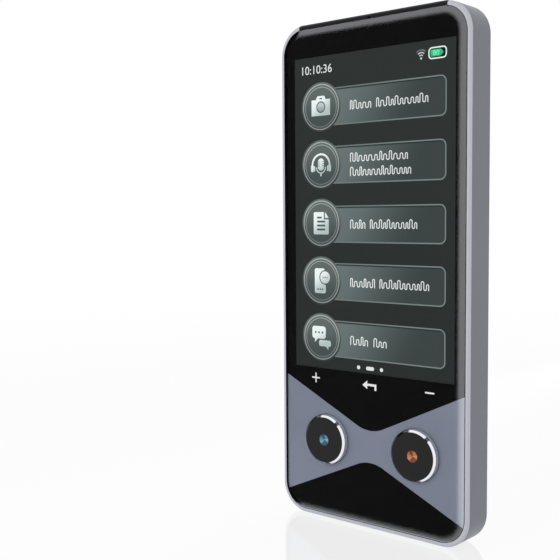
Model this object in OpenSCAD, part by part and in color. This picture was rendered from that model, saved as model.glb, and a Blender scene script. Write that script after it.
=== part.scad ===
// Handheld translator with a touch screen, two talk buttons, a power key, a SIM tray and a rear camera.
// Millimetres. +Z runs along the length, the screen faces -Y and the power key is on the -X side.
// The origin is the centre of the flat bottom end. Depths are counted back from the front of the cover lens.

/* [Body] */
// Width of the rear shell
body_w = 61.1; // [61:0.1:68]
// Length of the rear shell
body_h = 137.8; // [136:0.1:150]
// Thickness from the cover lens to the back face
body_d = 10.9; // [9.9:0.1:12]
// Radius of the shell's corners, seen from the front
corner_r = 8; // [7:0.1:10]
// Thickness of the side walls
side_wall = 1.25; // [1:0.05:1.4]
// Thickness of the back wall
back_wall = 1.2; // [0.9:0.05:1.3]
// How far the front rim lies behind the front of the cover lens
rim_drop = 0.6; // [0.4:0.05:0.8]
// Chamfer on the outer edge of the front rim
rim_chamfer = 0.5; // [0.2:0.05:0.9]
// Width of the chamfer round the back, seen from behind
back_chamfer_w = 1.1; // [0.5:0.05:1.8]
// Depth of the chamfer round the back, seen from the side
back_chamfer_t = 1; // [0.5:0.05:1.8]

/* [Antenna cap] */
// Height of the black cap at the top of the back
cap_h = 10.5; // [8:0.1:11.5]
// Half width of the cap along its lower edge
cap_half_w = 21.9; // [18:0.1:22]
// Sideways lean of the cap's ends for each unit of height
cap_lean = 0.19; // [0:0.01:0.22]
// Radius of the cap's lower corners
cap_r = 3; // [1:0.1:4]
// Joint line between the cap and the shell
cap_gap = 0.04; // [0.02:0.01:0.1]

/* [Cover lens] */
// Thickness of the cover lens
lens_t = 1.1; // [0.9:0.05:1.2]
// Gap between the cover lens and the shell's rim
lens_gap = 0.12; // [0.05:0.01:0.2]
// Width of the curved edge of the cover lens
lens_curve_w = 3; // [1:0.1:4]
// How far the curved edge falls back
lens_curve_drop = 0.6; // [0.3:0.05:0.8]
// Thickness of the printed layers behind the lens
print_t = 0.1; // [0.05:0.01:0.15]
// Margin between the printed layers and the lens edge
print_margin = 0.1; // [0.05:0.01:0.3]

/* [Bow tie panel] */
// Height of the panel's upper edge at the sides of the body
tie_side_top = 40.2; // [36:0.1:41]
// Height of the panel's lower edge at the sides of the body
tie_side_bottom = 5.1; // [4:0.1:8]
// Height where the two upper edges would meet
tie_waist_top = 25.7; // [24:0.1:28]
// Height where the two lower edges would meet
tie_waist_bottom = 18.9; // [15:0.1:20]
// Radius that rounds both points at the waist
tie_round = 10; // [2:0.5:12]

/* [Screen] */
// Distance from the side of the body to the lit area
screen_side = 4.63; // [4.2:0.01:6]
// Distance from the top end to the lit area
screen_top = 9.1; // [8:0.1:12]
// Distance from the bottom end to the lit area
screen_bottom = 42.3; // [41:0.1:48]
// Dark border of the panel at each side
panel_side = 1.4; // [1:0.05:1.45]
// Dark border of the panel above the lit area
panel_top = 1.6; // [1:0.1:2.2]
// Dark border of the panel below the lit area, which carries its driver
panel_bottom = 4; // [3:0.1:4.5]
// Thickness of the display panel
panel_t = 0.9; // [0.7:0.05:1]
// Thickness of the backlight unit
backlight_t = 0.84; // [0.7:0.02:0.88]
// Width of the display flex
display_flex_w = 12; // [8:0.5:14]

/* [Mid frame] */
// Thickness of the mid frame's plate
plate_t = 0.6; // [0.5:0.05:0.65]
// Gap between the mid frame and the shell
frame_gap = 0.1; // [0.05:0.01:0.2]
// Thickness of the foam tape that holds the cover lens
gasket_t = 0.3; // [0.2:0.05:0.4]
// Width of the foam tape
gasket_w = 1.3; // [0.8:0.1:1.4]
// Thickness of the pads under the frame screws
pad_t = 0.6; // [0.4:0.05:0.8]
// Diameter of the pads and bosses at the frame screws
boss_d = 3.4; // [3:0.1:3.6]
// Shaft diameter of the frame screws
frame_screw_d = 1.4; // [1.2:0.1:1.6]
// Shaft diameter of the board screws
board_screw_d = 1.2; // [1:0.1:1.4]
// Diameter of the posts under the boards
post_d = 3; // [2.6:0.1:3.2]

/* [Talk buttons] */
// Distance from the side of the body to the centre of a talk button
button_side = 16; // [14.5:0.1:18]
// Height of the talk buttons
button_z = 22.4; // [21:0.1:23]
// Diameter of the holes in the cover lens
button_hole_d = 13.95; // [13:0.05:15]
// Gap round each button ring
button_gap = 0.12; // [0.05:0.01:0.2]
// How far a button stands in front of the cover lens
button_rise = 0.6; // [0.3:0.05:0.8]
// Diameter of the black button cap
button_cap_d = 12.4; // [11:0.1:12.6]
// Diameter of the coloured dot
dot_d = 3.2; // [2:0.1:5]
// Depth of the pocket for the dot
dot_t = 0.3; // [0.2:0.05:0.6]
// How much wider the flange under the lens is than its hole, on the radius
flange_lip = 0.9; // [0.5:0.1:1.2]
// Thickness of the flange
flange_t = 0.65; // [0.5:0.05:0.8]
// Travel of a talk button
button_travel = 0.45; // [0.2:0.05:0.5]
// Side of the square tact switches
switch_w = 4.5; // [4:0.1:5]

/* [Power key] */
// Length of the power key
key_l = 12.2; // [10:0.1:14]
// Width of the power key
key_w = 3.4; // [3:0.1:3.6]
// How far the power key stands out of the side
key_rise = 0.8; // [0.4:0.05:1.2]
// Bevel round the power key's face
key_bevel = 0.45; // [0.2:0.05:0.6]
// Distance of the power key's centre below the top end
key_drop = 33.2; // [31:0.1:34]
// Depth of the power key's centre
key_depth = 5.7; // [5.6:0.05:5.9]
// Gap between the power key and its slot
key_gap = 0.06; // [0.04:0.01:0.1]
// Travel of the power key
key_travel = 0.4; // [0.2:0.05:0.45]

/* [SIM tray] */
// Length of the SIM tray's end plate
tray_l = 17; // [16.6:0.1:17.4]
// Width of the SIM tray's end plate
tray_w = 3; // [2.8:0.1:3.2]
// Distance of the end plate's centre below the top end
tray_drop = 53.9; // [53:0.1:56]
// Depth of the end plate's centre
tray_depth = 4.4; // [4.2:0.05:4.6]
// Gap between the end plate and its slot
tray_gap = 0.06; // [0.04:0.01:0.1]
// Diameter of the eject pinhole
pinhole_d = 0.9; // [0.7:0.05:1]
// Length of the SIM card, along the tray
card_l = 12.3; // [12:0.1:12.4]
// Width of the SIM card
card_w = 8.8; // [8.6:0.1:8.9]
// Thickness of the SIM card
card_t = 0.67; // [0.6:0.01:0.7]
// Width of the eject rod
rod_w = 1; // [0.8:0.05:1.1]
// Distance from the lever's pivot to the eject rod
lever_arm = 3.4; // [3.2:0.1:3.5]
// Diameter of the lever's pivot pin
pivot_d = 1; // [0.8:0.05:1.1]

/* [Camera] */
// Distance of the camera's centre below the top end
camera_drop = 23.7; // [22.5:0.1:25]
// Width of the camera bezel
bezel_w = 21; // [19:0.1:22]
// Height of the camera bezel
bezel_h = 19.4; // [18:0.1:20.5]
// How far the bezel stands out of the back
bezel_rise = 1; // [0.7:0.05:1.5]
// Corner radius of the bezel
bezel_r = 6; // [5:0.1:7]
// Chamfer round the bezel
bezel_chamfer = 0.5; // [0.2:0.05:0.6]
// Width of the bezel's rim round the window
bezel_rim = 1.4; // [1.1:0.05:2]
// Diameter of the lens disc in the window
camera_disc_d = 4.3; // [3.5:0.1:5]
// Side of the square camera module
module_w = 8.5; // [8:0.1:9]

/* [Loudspeaker] */
// Number of grille holes across
grille_columns = 13; // [5:1:13]
// Number of grille holes up
grille_rows = 4; // [2:1:4]
// Spacing of the grille holes across
grille_pitch_x = 2.36; // [1.8:0.02:2.4]
// Spacing of the grille holes up
grille_pitch_z = 2.13; // [1.6:0.01:2.3]
// Diameter of each grille hole
grille_hole_d = 1.15; // [0.8:0.05:1.4]
// Height of the grille's centre
grille_z = 20.2; // [19:0.1:21]
// Width of the loudspeaker's rim round its cone
speaker_rim = 1.6; // [1.2:0.1:2]
// Height of the loudspeaker
speaker_h = 14; // [12:0.1:14.5]

/* [Battery] */
// Gap between the mid frame's plate and the battery
battery_front_gap = 0.75; // [0.7:0.05:1.5]
// Gap between the battery and the board or boss at each side of it
battery_side_gap = 0.8; // [0.4:0.1:3]
// Gap between the battery and the button board
battery_low_gap = 2; // [1:0.1:5]
// Gap between the battery and the main board above it
battery_high_gap = 3.5; // [2:0.1:8]

/* [Boards and charging port] */
// Thickness of the circuit boards
board_t = 0.8; // [0.6:0.05:0.9]
// Width of the charging port's shell
port_w = 8.94; // [8.8:0.02:9.1]
// Height of the charging port's shell
port_h = 3.26; // [3.1:0.02:3.3]
// Wall of the charging port's shell
port_wall = 0.3; // [0.2:0.02:0.35]
// Length of the charging port
port_l = 7.4; // [7:0.1:8]
// Gap between the charging port and its opening
port_gap = 0.13; // [0.08:0.01:0.2]

/* [Hidden] */
$fn = 64;

// clearances that repeat
film = 0.02;        // glue line between bonded layers
loose = 0.05;       // running clearance on a side
over = 1;           // how far a cutter runs past the face that it cuts

// inside of the shell
cavity_w = body_w - 2 * side_wall;
cavity_h = body_h - 2 * side_wall;
cavity_r = corner_r - side_wall;
wall_x = cavity_w / 2;
floor_depth = body_d - back_wall;
mid_z = body_h / 2;

// places measured from the ends and sides of the body
active_w = body_w - 2 * screen_side;
active_h = body_h - screen_top - screen_bottom;
active_z = screen_bottom + active_h / 2;
button_x = body_w / 2 - button_side;
key_z = body_h - key_drop;
tray_z = body_h - tray_drop;
camera_z = body_h - camera_drop;

// cover lens and what is bonded behind it
lens_w = cavity_w - 2 * lens_gap;
lens_h = cavity_h - 2 * lens_gap;
lens_r = cavity_r - lens_gap;
print_depth = [lens_t + film, lens_t + film + print_t];
gasket_depth = [print_depth[1], print_depth[1] + gasket_t];
panel_depth = [print_depth[1] + film, print_depth[1] + film + panel_t];
backlight_depth = [panel_depth[1] + film, panel_depth[1] + film + backlight_t];
panel_w = active_w + 2 * panel_side;
panel_z = [active_z - active_h / 2 - panel_bottom, active_z + active_h / 2 + panel_top];

// mid frame
frame_w = cavity_w - 2 * frame_gap;
frame_h = cavity_h - 2 * frame_gap;
frame_r = cavity_r - frame_gap;
frame_front = gasket_depth[1];
plate_front = backlight_depth[1] + loose;
plate_back = plate_front + plate_t;
pocket_side = 0.25;
pocket_w = panel_w + 2 * pocket_side;
pocket_z = [panel_z[0] - pocket_side, panel_z[1] + pocket_side];
cross_wall = 1.5;
lower_pocket_z = [side_wall + 2, pocket_z[0] - cross_wall];

// frame screws: the four corners and two beside the battery
boss_inset = 4.95;
boss_low = 5.3;
boss_mid_x = wall_x - 2.9;
board_below_tray = 12.4;
main_low = tray_z - board_below_tray;
boss_mid_z = main_low - 3;
frame_screw_at = [for (sx = [-1, 1]) each [[sx * (body_w / 2 - boss_inset), boss_low],
    [sx * boss_mid_x, boss_mid_z], [sx * (body_w / 2 - boss_inset), body_h - boss_low]]];
boss_front = plate_back + pad_t;
screw_head_t = 0.45;
frame_head_d = frame_screw_d + 1.2;
frame_screw_l = 3.2;
thread_gap = 0.02;

// main board, an upside-down L whose leg carries the SIM reader
main_depth = [plate_back + 1.35, plate_back + 1.35 + board_t];
edge_gap = 0.9;
main_x = wall_x - edge_gap;
shoulder_up = 12.1;
main_shoulder = tray_z + shoulder_up;
main_high = body_h - 4.2;
screw_side = 4;
screw_top = 15.8;
shoulder_screw_side = 5.9;
shoulder_screw_up = 3.3;
leg_screw_side = 8.4;
leg_screw_down = 1.8;
main_screw_at = [[screw_side - main_x, body_h - screw_top], [main_x - screw_side, body_h - screw_top],
    [main_x - shoulder_screw_side, main_shoulder + shoulder_screw_up],
    [leg_screw_side - main_x, main_shoulder - leg_screw_down]];
board_head_d = board_screw_d + 1.2;
bore_end_wall = 0.4;
screw_end_gap = 0.8;
board_screw_l = floor_depth - bore_end_wall - screw_end_gap - main_depth[0];

// pressed steel cans and the chips under them
can_wall = 0.2;
shield_t = 1.8;
front_shield_t = 1.2;
chip_t = 0.7;
camera_clear = 0.75;
camera_edge = module_w / 2 + camera_clear;
shield_gap = 2;
shield_side = 6.4;
screw_room = 6;
processor_h = 20;
radio_h = 17;
modem_h = 22;
chip_edge = 2;
small_chip_h = 3.5;
processor_x = [shield_side - main_x, -camera_edge - shield_gap];
processor_z = [main_shoulder + shield_gap, main_shoulder + shield_gap + processor_h];
radio_x = [camera_edge + shield_gap, main_x - shield_side];
radio_z = [main_shoulder + screw_room, main_shoulder + screw_room + radio_h];
modem_z = [main_shoulder + screw_room, main_shoulder + screw_room + modem_h];

// button board behind the two talk buttons
lower_depth = [plate_back + 0.55, plate_back + 0.55 + board_t];
lower_side = 9;
lower_up = 11.1;
lower_x = button_x + lower_side;
lower_z = [side_wall + 1.35, button_z + lower_up];
lower_screw_side = 1.9;
lower_screw_up = [-11.4, 8.4];
lower_screw_x = lower_x - lower_screw_side;
lower_screw_at = [for (sx = [-1, 1], up = lower_screw_up) [sx * lower_screw_x, button_z + up]];

// talk buttons
button_hole_r = button_hole_d / 2;
ring_r = button_hole_r - button_gap;
cap_top_r = button_cap_d / 2;
flange_front = print_depth[1] + 0.13;
flange_back = flange_front + flange_t;
flange_r = button_hole_r + flange_lip;
switch_front = lower_depth[0] - 1.05;
post_end = switch_front - button_travel - loose;
stem_r = 1;
stem_in = 0.2;
bore_depth = button_travel + stem_in + 0.1;
carrier_post_r = 1.5;
switch_window_r = switch_w * 0.89;

// power key, from the outside in
key_face = -(body_w / 2 + key_rise);
key_back = -wall_x + 0.1;
key_ear = 0.9;
key_plate_t = 0.6;
key_plate_back = key_back + key_plate_t;
key_nub_end = key_plate_back + 0.7;
key_stem_r = 0.75;
key_switch_x = key_nub_end + key_travel + 0.3;
key_switch_t = 1.5;
key_switch_half = 2.3;
key_switch_deep = 1.5;
bracket_t = 0.5;
bracket_x = key_switch_x + key_switch_t;
bracket_half = 4.5;

// SIM reader, tray, rod and lever
tray_back = -wall_x - 0.05;
card_side = 0.1;
blade_rim = 0.6;
blade_l = card_l + 2 * card_side + 2 * blade_rim;
lever_x = tray_back + blade_l + 1.65;
lever_w = 1;
lever_low_arm = 3.6;
hub_r = 1.1;
reader_x = [-wall_x + 0.4, lever_x + 2.1];
reader_z = [tray_z - 8.7, tray_z + 8.3];
reader_depth = [main_depth[0] - 1.28, main_depth[0]];
sheet_t = 0.15;
rail_end = tray_back + blade_l - 0.35;
main_leg_x = reader_x[1] + 0.9;
slide_depth = [reader_depth[0] + sheet_t + loose, main_depth[0] - sheet_t - loose];
blade_w = card_w + 2 * card_side + 2 * (blade_rim + 0.4);
blade_z = [tray_z - 7.3, tray_z - 7.3 + blade_w];
card_floor_t = 0.15;
card_front = slide_depth[1] - card_floor_t - card_t - film;
rod_z = tray_z + 6.8;
rod_x = [tray_back + 0.25, lever_x - lever_w / 2 - 0.2];
lever_z = rod_z - lever_arm;
pinhole_depth = (slide_depth[0] + slide_depth[1]) / 2;

// camera
bezel_floor_t = 0.3;
window_t = bezel_rise - bezel_floor_t - 0.1;
window_w = bezel_w - 2 * bezel_rim;
window_h = bezel_h - 2 * bezel_rim;
window_r = bezel_r - bezel_rim;
window_depth = [body_d + bezel_floor_t + film, body_d + bezel_floor_t + film + window_t];
barrel_r = 3.2;
spigot_r = 3.9;
spigot_bore_r = 3.5;

// loudspeaker, between the back wall and the button board
mesh_t = 0.1;
speaker_gasket_t = 0.2;
speaker_back = floor_depth - mesh_t - speaker_gasket_t;
speaker_front = lower_depth[1] + 0.9;
speaker_w = (grille_columns - 1) * grille_pitch_x + grille_hole_d + 2 * (speaker_rim + 0.15);
cone_t = 0.4;
cone_drop = 0.15;

// battery
battery_x = main_leg_x + battery_side_gap;
battery_w = boss_mid_x - boss_d / 2 - battery_side_gap - battery_x;
battery_z = lower_z[1] + battery_low_gap;
battery_h = main_shoulder - battery_high_gap - battery_z;
tape_t = 0.2;
tape_margin = 2;
battery_depth = [plate_back + battery_front_gap, floor_depth - tape_t];
battery_top = battery_z + battery_h;
socket_t = 1;
socket_x = [battery_x + battery_w / 2 - 2.5, battery_x + battery_w / 2 + 2.5];
socket_z = [main_shoulder + 0.6, main_shoulder + 2.8];
lead_t = 0.15;

// charging port, microphones and flexes
port_depth = plate_back + port_h / 2 + loose;
port_low = 0.2;
mic_hole_d = 1;
mic_x = 14;
mic_size = [3.5, 1, 2.6];
ribbon_t = 0.12;
ribbon_x = [main_leg_x - 7.5, main_leg_x - 1.5];
ribbon_lap = 5.5;
flex_t = 0.12;
flex_lap = 6;
flex_slot_h = 2.2;
light_low_gap = 2.5;
tongue_w = 6.68;
cone_r = 2;
antenna_t = 0.15;
antenna_edge = 4.9;
antenna_low_gap = 1.5;
antenna_top_gap = 1;

// Depth as a Y coordinate.
function at_depth(depth) = depth - body_d / 2;

// A range drawn in by a margin at both ends.
function inset(range, margin) = [range[0] + margin, range[1] - margin];

// A flat outline, drawn in X and Z, made as thick as a range of depths.
module prism(depth) {
    translate([0, at_depth(depth[1]), 0])
        rotate([90, 0, 0])
            linear_extrude(depth[1] - depth[0])
                children();
}

// A box between ranges of X, Z and depth.
module slab(x, z, depth) {
    translate([x[0], at_depth(depth[0]), z[0]])
        cube([x[1] - x[0], depth[1] - depth[0], z[1] - z[0]]);
}

// A round bar along Y at a point of the front, over a range of depths.
module bar(at, r, depth) {
    translate([at[0], at_depth(depth[1]), at[1]])
        rotate([90, 0, 0])
            cylinder(r = r, h = depth[1] - depth[0]);
}

// A rectangle with round corners, centred.
module rounded(w, h, r) {
    square([w - 2 * r, h], center = true);
    square([w, h - 2 * r], center = true);
    for (sx = [-1, 1], sz = [-1, 1])
        translate([sx * (w / 2 - r), sz * (h / 2 - r)])
            circle(r = r);
}

// The same rectangle at the middle of the body.
module body_outline(w, h, r) {
    translate([0, mid_z])
        rounded(w, h, r);
}

// A slot with half-round ends along the second axis, centred.
module stadium(l, w) {
    square([w, l - w], center = true);
    for (s = [-1, 1])
        translate([0, s * (l - w) / 2])
            circle(r = w / 2);
}

// A plate whose edge follows a profile drawn in distance from the corner centre and in depth.
module profiled_plate(w, h, r, depth) {
    half_x = w / 2 - r;
    half_z = h / 2 - r;
    corner = [[1, -1], [-1, -1], [-1, 1], [1, 1]];
    translate([0, at_depth(0), mid_z]) {
        for (k = [0 : 3])
            translate([corner[k][0] * half_x, 0, corner[k][1] * half_z])
                rotate([0, 90 * k, 0])
                    rotate([-90, 0, 0])
                        rotate_extrude(angle = 90)
                            children();
        for (m = [0, 1]) {
            mirror([m, 0, 0])
                translate([half_x, 0, -half_z])
                    linear_extrude(2 * half_z)
                        children();
            mirror([0, 0, m])
                translate([half_x, 0, half_z])
                    rotate([0, -90, 0])
                        linear_extrude(2 * half_x)
                            children();
        }
        translate([-half_x, depth[0], -half_z])
            cube([2 * half_x, depth[1] - depth[0], 2 * half_z]);
    }
}

// Outer form of the shell with its two chamfers, hollowed from the front.
module shell_blank() {
    difference() {
        profiled_plate(body_w, body_h, corner_r, [rim_drop, body_d])
            polygon([[0, rim_drop], [corner_r - rim_chamfer, rim_drop], [corner_r, rim_drop + rim_chamfer],
                [corner_r, body_d - back_chamfer_t], [corner_r - back_chamfer_w, body_d], [0, body_d]]);
        prism([-over, floor_depth])
            body_outline(cavity_w, cavity_h, cavity_r);
    }
}

// Outline of the antenna cap, drawn in by an inset: ends that lean outwards and round lower corners.
module cap_outline(inset) {
    lean = atan(cap_lean);
    low = body_h - cap_h + inset;
    r = cap_r - inset;
    half = cap_half_w - inset / cos(lean) + inset * cap_lean;
    tangent = r / tan((90 + lean) / 2);
    high = body_h + over;
    side = [half + tangent * sin(lean), low + tangent * cos(lean)];
    top = half + (high - low) * cap_lean;
    polygon([[-half + tangent, low], [half - tangent, low], side, [top, high], [-top, high],
        [-side[0], side[1]]]);
    for (s = [-1, 1])
        translate([s * (half - tangent), low + r])
            circle(r = r);
}

// Port of the top microphone, in the rim just above the cover lens.
module top_port() {
    bar([0, body_h - side_wall], mic_hole_d / 2, [-over, frame_front]);
}

module rear_shell() {
    color("#8f8f97")
        difference() {
            union() {
                difference() {
                    shell_blank();
                    prism([-over, body_d + over])
                        cap_outline(0);
                }
                for (at = frame_screw_at)
                    bar(at, boss_d / 2, [boss_front, floor_depth + back_wall / 2]);
                for (at = main_screw_at)
                    bar(at, post_d / 2, [main_depth[1], floor_depth + back_wall / 2]);
                for (at = lower_screw_at)
                    bar(at, post_d / 2, [lower_depth[1], floor_depth + back_wall / 2]);
            }
            for (at = frame_screw_at)
                bar(at, frame_screw_d / 2 + thread_gap, [boss_front - over, floor_depth - 1]);
            for (at = concat(main_screw_at, lower_screw_at))
                bar(at, board_screw_d / 2 + thread_gap, [lower_depth[1] - over, floor_depth - bore_end_wall]);
            bar([0, camera_z], spigot_r + loose, [floor_depth - over, body_d + over]);
            for (i = [0 : grille_columns - 1], j = [0 : grille_rows - 1])
                bar([(i - (grille_columns - 1) / 2) * grille_pitch_x,
                    grille_z + (j - (grille_rows - 1) / 2) * grille_pitch_z],
                    grille_hole_d / 2, [floor_depth - over, body_d + over]);
            translate([-body_w / 2 - over, at_depth(key_depth), key_z])
                side_stadium(key_l + 2 * key_gap, key_w + 2 * key_gap, side_wall + 2 * over);
            translate([-body_w / 2 - over, at_depth(tray_depth), tray_z])
                side_stadium(tray_l + 2 * tray_gap, tray_w + 2 * tray_gap, side_wall + 2 * over);
            translate([0, at_depth(port_depth), -over])
                end_stadium(port_w + 2 * port_gap, port_h + 2 * port_gap, side_wall + 2 * over);
            translate([mic_x, at_depth(lower_depth[1] + mic_size[1] / 2), -over])
                cylinder(d = mic_hole_d, h = side_wall + 2 * over);
        }
}

// A bar with a stadium section along +X, its length along Z.
module side_stadium(l, w, h) {
    rotate([90, 0, 90])
        linear_extrude(h)
            stadium(l, w);
}

// A bar with a stadium section along +Z, its length along X.
module end_stadium(l, w, h) {
    linear_extrude(h)
        rotate(90)
            stadium(l, w);
}

module antenna_cap() {
    color("#2e2e2e")
        difference() {
            intersection() {
                shell_blank();
                prism([-over, body_d + over])
                    cap_outline(cap_gap);
            }
            top_port();
        }
}

module camera_bezel() {
    color("#17171a")
        difference() {
            union() {
                translate([0, 0, camera_z - mid_z])
                    profiled_plate(bezel_w, bezel_h, bezel_r, [body_d, body_d + bezel_rise])
                        polygon([[0, body_d], [bezel_r, body_d],
                            [bezel_r, body_d + bezel_rise - bezel_chamfer],
                            [bezel_r - bezel_chamfer, body_d + bezel_rise], [0, body_d + bezel_rise]]);
                bar([0, camera_z], spigot_r, [floor_depth, body_d + bezel_floor_t / 2]);
            }
            prism([body_d + bezel_floor_t, body_d + bezel_rise + over])
                translate([0, camera_z])
                    rounded(window_w, window_h, window_r);
            bar([0, camera_z], spigot_bore_r, [floor_depth - over, body_d + bezel_rise]);
        }
}

module camera_window() {
    color("#050506")
        difference() {
            prism(window_depth)
                translate([0, camera_z])
                    rounded(window_w - 2 * loose, window_h - 2 * loose, window_r - loose);
            bar([0, camera_z], camera_disc_d / 2 + loose, [window_depth[0] - over, window_depth[1] + over]);
        }
}

// Lens disc with a stepped cone down to its pupil.
module camera_disc() {
    r = camera_disc_d / 2;
    pupil_r = r * 0.45;
    t = window_depth[1] - window_depth[0];
    color("#b9b9bb")
        translate([0, at_depth(window_depth[0]), camera_z])
            rotate([-90, 0, 0])
                rotate_extrude()
                    polygon([[0, 0], [r, 0], [r, t], [r * 0.8, t], [pupil_r, t * 0.75], [pupil_r, t * 0.45],
                        [0, t * 0.45]]);
}

module camera_module() {
    color("#222226") {
        slab([-module_w / 2, module_w / 2], [camera_z - module_w / 2, camera_z + module_w / 2],
            [plate_back + loose, floor_depth - loose]);
        bar([0, camera_z], barrel_r, [floor_depth - 2 * loose, window_depth[0] - loose]);
    }
}

module cover_lens() {
    flat = lens_r - lens_curve_w;
    curve_r = (pow(lens_curve_w, 2) + pow(lens_curve_drop, 2)) / (2 * lens_curve_drop);
    color("#101214", 0.6)
        difference() {
            profiled_plate(lens_w, lens_h, lens_r, [0, lens_t]) {
                union() {
                    square([flat, lens_t]);
                    intersection() {
                        translate([flat, 0])
                            square([lens_curve_w, lens_t]);
                        translate([flat, curve_r])
                            circle(r = curve_r, $fn = 180);
                    }
                }
            }
            for (s = [-1, 1])
                bar([s * button_x, button_z], button_hole_r, [-over, lens_t + over]);
        }
}

// A wedge that opens upwards with its tip rounded: the black part above or below the bow tie's waist.
module rounded_wedge(rise, half) {
    slope = atan(rise / half);
    touch_x = tie_round * sin(slope);
    touch_z = touch_x * tan(slope);
    polygon([[-touch_x, touch_z], [touch_x, touch_z], [half, rise], [-half, rise]]);
    translate([0, tie_round / cos(slope)])
        circle(r = tie_round);
}

// Outline of the lavender panel, pinched at the waist.
module bow_tie_outline() {
    half = body_w / 2;
    intersection() {
        difference() {
            translate([-half, tie_side_bottom])
                square([body_w, tie_side_top - tie_side_bottom]);
            translate([0, tie_waist_top])
                rounded_wedge(tie_side_top - tie_waist_top, half);
            translate([0, tie_waist_bottom])
                mirror([0, 1])
                    rounded_wedge(tie_waist_bottom - tie_side_bottom, half);
        }
        print_outline();
    }
}

module print_outline() {
    body_outline(lens_w - 2 * print_margin, lens_h - 2 * print_margin, lens_r - print_margin);
}

module button_openings() {
    for (s = [-1, 1])
        translate([s * button_x, button_z])
            circle(r = button_hole_r + 0.1);
}

module black_print() {
    color("#141414")
        prism(print_depth)
            difference() {
                print_outline();
                bow_tie_outline();
                button_openings();
                translate([-active_w / 2, active_z - active_h / 2])
                    square([active_w, active_h]);
            }
}

module bow_tie_print() {
    color("#7c8291")
        prism(print_depth)
            difference() {
                bow_tie_outline();
                button_openings();
            }
}

module lens_gasket() {
    inner_w = frame_w - 2 * gasket_w;
    inner_h = frame_h - 2 * gasket_w;
    color("#1c1c1c")
        prism(gasket_depth) {
            difference() {
                body_outline(frame_w, frame_h, frame_r);
                body_outline(inner_w, inner_h, frame_r - gasket_w);
            }
            translate([-inner_w / 2 - 0.2, lower_pocket_z[1]])
                square([inner_w + 0.4, cross_wall]);
        }
}

module display_panel() {
    color("#31363a")
        slab([-panel_w / 2, panel_w / 2], panel_z, panel_depth);
}

module backlight_unit() {
    color("#e8e8e4")
        slab([-panel_w / 2 + 0.3, panel_w / 2 - 0.3], [panel_z[0] + light_low_gap, panel_z[1] - 0.4],
            backlight_depth);
}

// Flex from the panel's lower edge, back through a slot in the plate and down onto the button board.
module display_flex() {
    bend = panel_z[0] - 1.2;
    start = panel_depth[0] + panel_t / 2;
    end = lower_depth[0] - flex_t;
    color("#c48a2c")
        translate([-display_flex_w / 2, 0, 0])
            rotate([90, 0, 90])
                linear_extrude(display_flex_w)
                    polygon([[at_depth(start), panel_z[0]], [at_depth(start), bend],
                        [at_depth(end), bend - 0.4], [at_depth(end), lower_z[1] - flex_lap],
                        [at_depth(lower_depth[0]), lower_z[1] - flex_lap],
                        [at_depth(lower_depth[0]), bend - 0.3],
                        [at_depth(start) + flex_t, bend + 0.1], [at_depth(start) + flex_t, panel_z[0]]]);
}

module mid_frame() {
    color("#5c6066")
        difference() {
            union() {
                difference() {
                    prism([frame_front, plate_back])
                        body_outline(frame_w, frame_h, frame_r);
                    slab([-pocket_w / 2, pocket_w / 2], pocket_z, [frame_front - over, plate_front]);
                    slab([-pocket_w / 2, pocket_w / 2], lower_pocket_z, [frame_front - over, plate_front]);
                }
                for (at = frame_screw_at)
                    bar(at, boss_d / 2, [plate_front + plate_t / 2, boss_front]);
            }
            for (at = frame_screw_at) {
                bar(at, frame_head_d / 2 + 0.15, [frame_front - over, plate_front + screw_head_t + 0.05]);
                bar(at, frame_screw_d / 2 + 0.1, [frame_front - over, boss_front + over]);
            }
            for (s = [-1, 1])
                bar([s * button_x, button_z], switch_window_r, [frame_front - over, plate_back + over]);
            slab([-display_flex_w / 2 - 0.5, display_flex_w / 2 + 0.5],
                [panel_z[0] - flex_slot_h, panel_z[0]], [frame_front - over, plate_back + over]);
        }
}

// A pan-head screw that points backwards.
module screw(at, head_front, shaft_d, head_d, l) {
    bar(at, head_d / 2, [head_front, head_front + screw_head_t]);
    bar(at, shaft_d / 2, [head_front + screw_head_t / 2, head_front + screw_head_t + l]);
}

module frame_screws() {
    color("#b5b5b8")
        for (at = frame_screw_at)
            screw(at, plate_front + 0.05, frame_screw_d, frame_head_d, frame_screw_l);
}

module board_screws() {
    color("#b5b5b8") {
        for (at = main_screw_at)
            screw(at, main_depth[0] - screw_head_t, board_screw_d, board_head_d, board_screw_l);
        for (at = lower_screw_at)
            screw(at, lower_depth[0] - screw_head_t, board_screw_d, board_head_d, board_screw_l);
    }
}

module main_board() {
    key_notch = key_l / 2 + key_ear + 0.2;
    color("#1f5a3a")
        difference() {
            prism(main_depth)
                difference() {
                    intersection() {
                        polygon([[-main_x, main_low], [main_leg_x, main_low], [main_leg_x, main_shoulder],
                            [main_x, main_shoulder], [main_x, main_high], [-main_x, main_high]]);
                        body_outline(2 * main_x, cavity_h - 2 * edge_gap, cavity_r - edge_gap);
                    }
                    translate([-main_x - over, key_z - key_notch])
                        square([bracket_x + bracket_t + 0.3 + main_x + over, 2 * key_notch]);
                    translate([-camera_edge, camera_z - camera_edge])
                        square(2 * camera_edge);
                }
            for (at = frame_screw_at)
                bar(at, boss_d / 2 + 0.5, [main_depth[0] - over, main_depth[1] + over]);
            for (at = main_screw_at)
                bar(at, board_screw_d / 2 + 0.1, [main_depth[0] - over, main_depth[1] + over]);
        }
}

// A small and a large chip under one shield.
module chip_pair(x, z, depth) {
    split = z[0] + chip_edge + small_chip_h;
    slab(inset(x, 2 * chip_edge), [z[0] + chip_edge, split], depth);
    slab(inset(x, chip_edge), [split + chip_edge, z[1] - chip_edge], depth);
}

// Chips on the back and the front of the main board.
module main_chips() {
    back = [main_depth[1], main_depth[1] + chip_t];
    color("#202024") {
        chip_pair(processor_x, processor_z, back);
        chip_pair(radio_x, radio_z, back);
        chip_pair(radio_x, modem_z, [main_depth[0] - chip_t, main_depth[0]]);
    }
}

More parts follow.
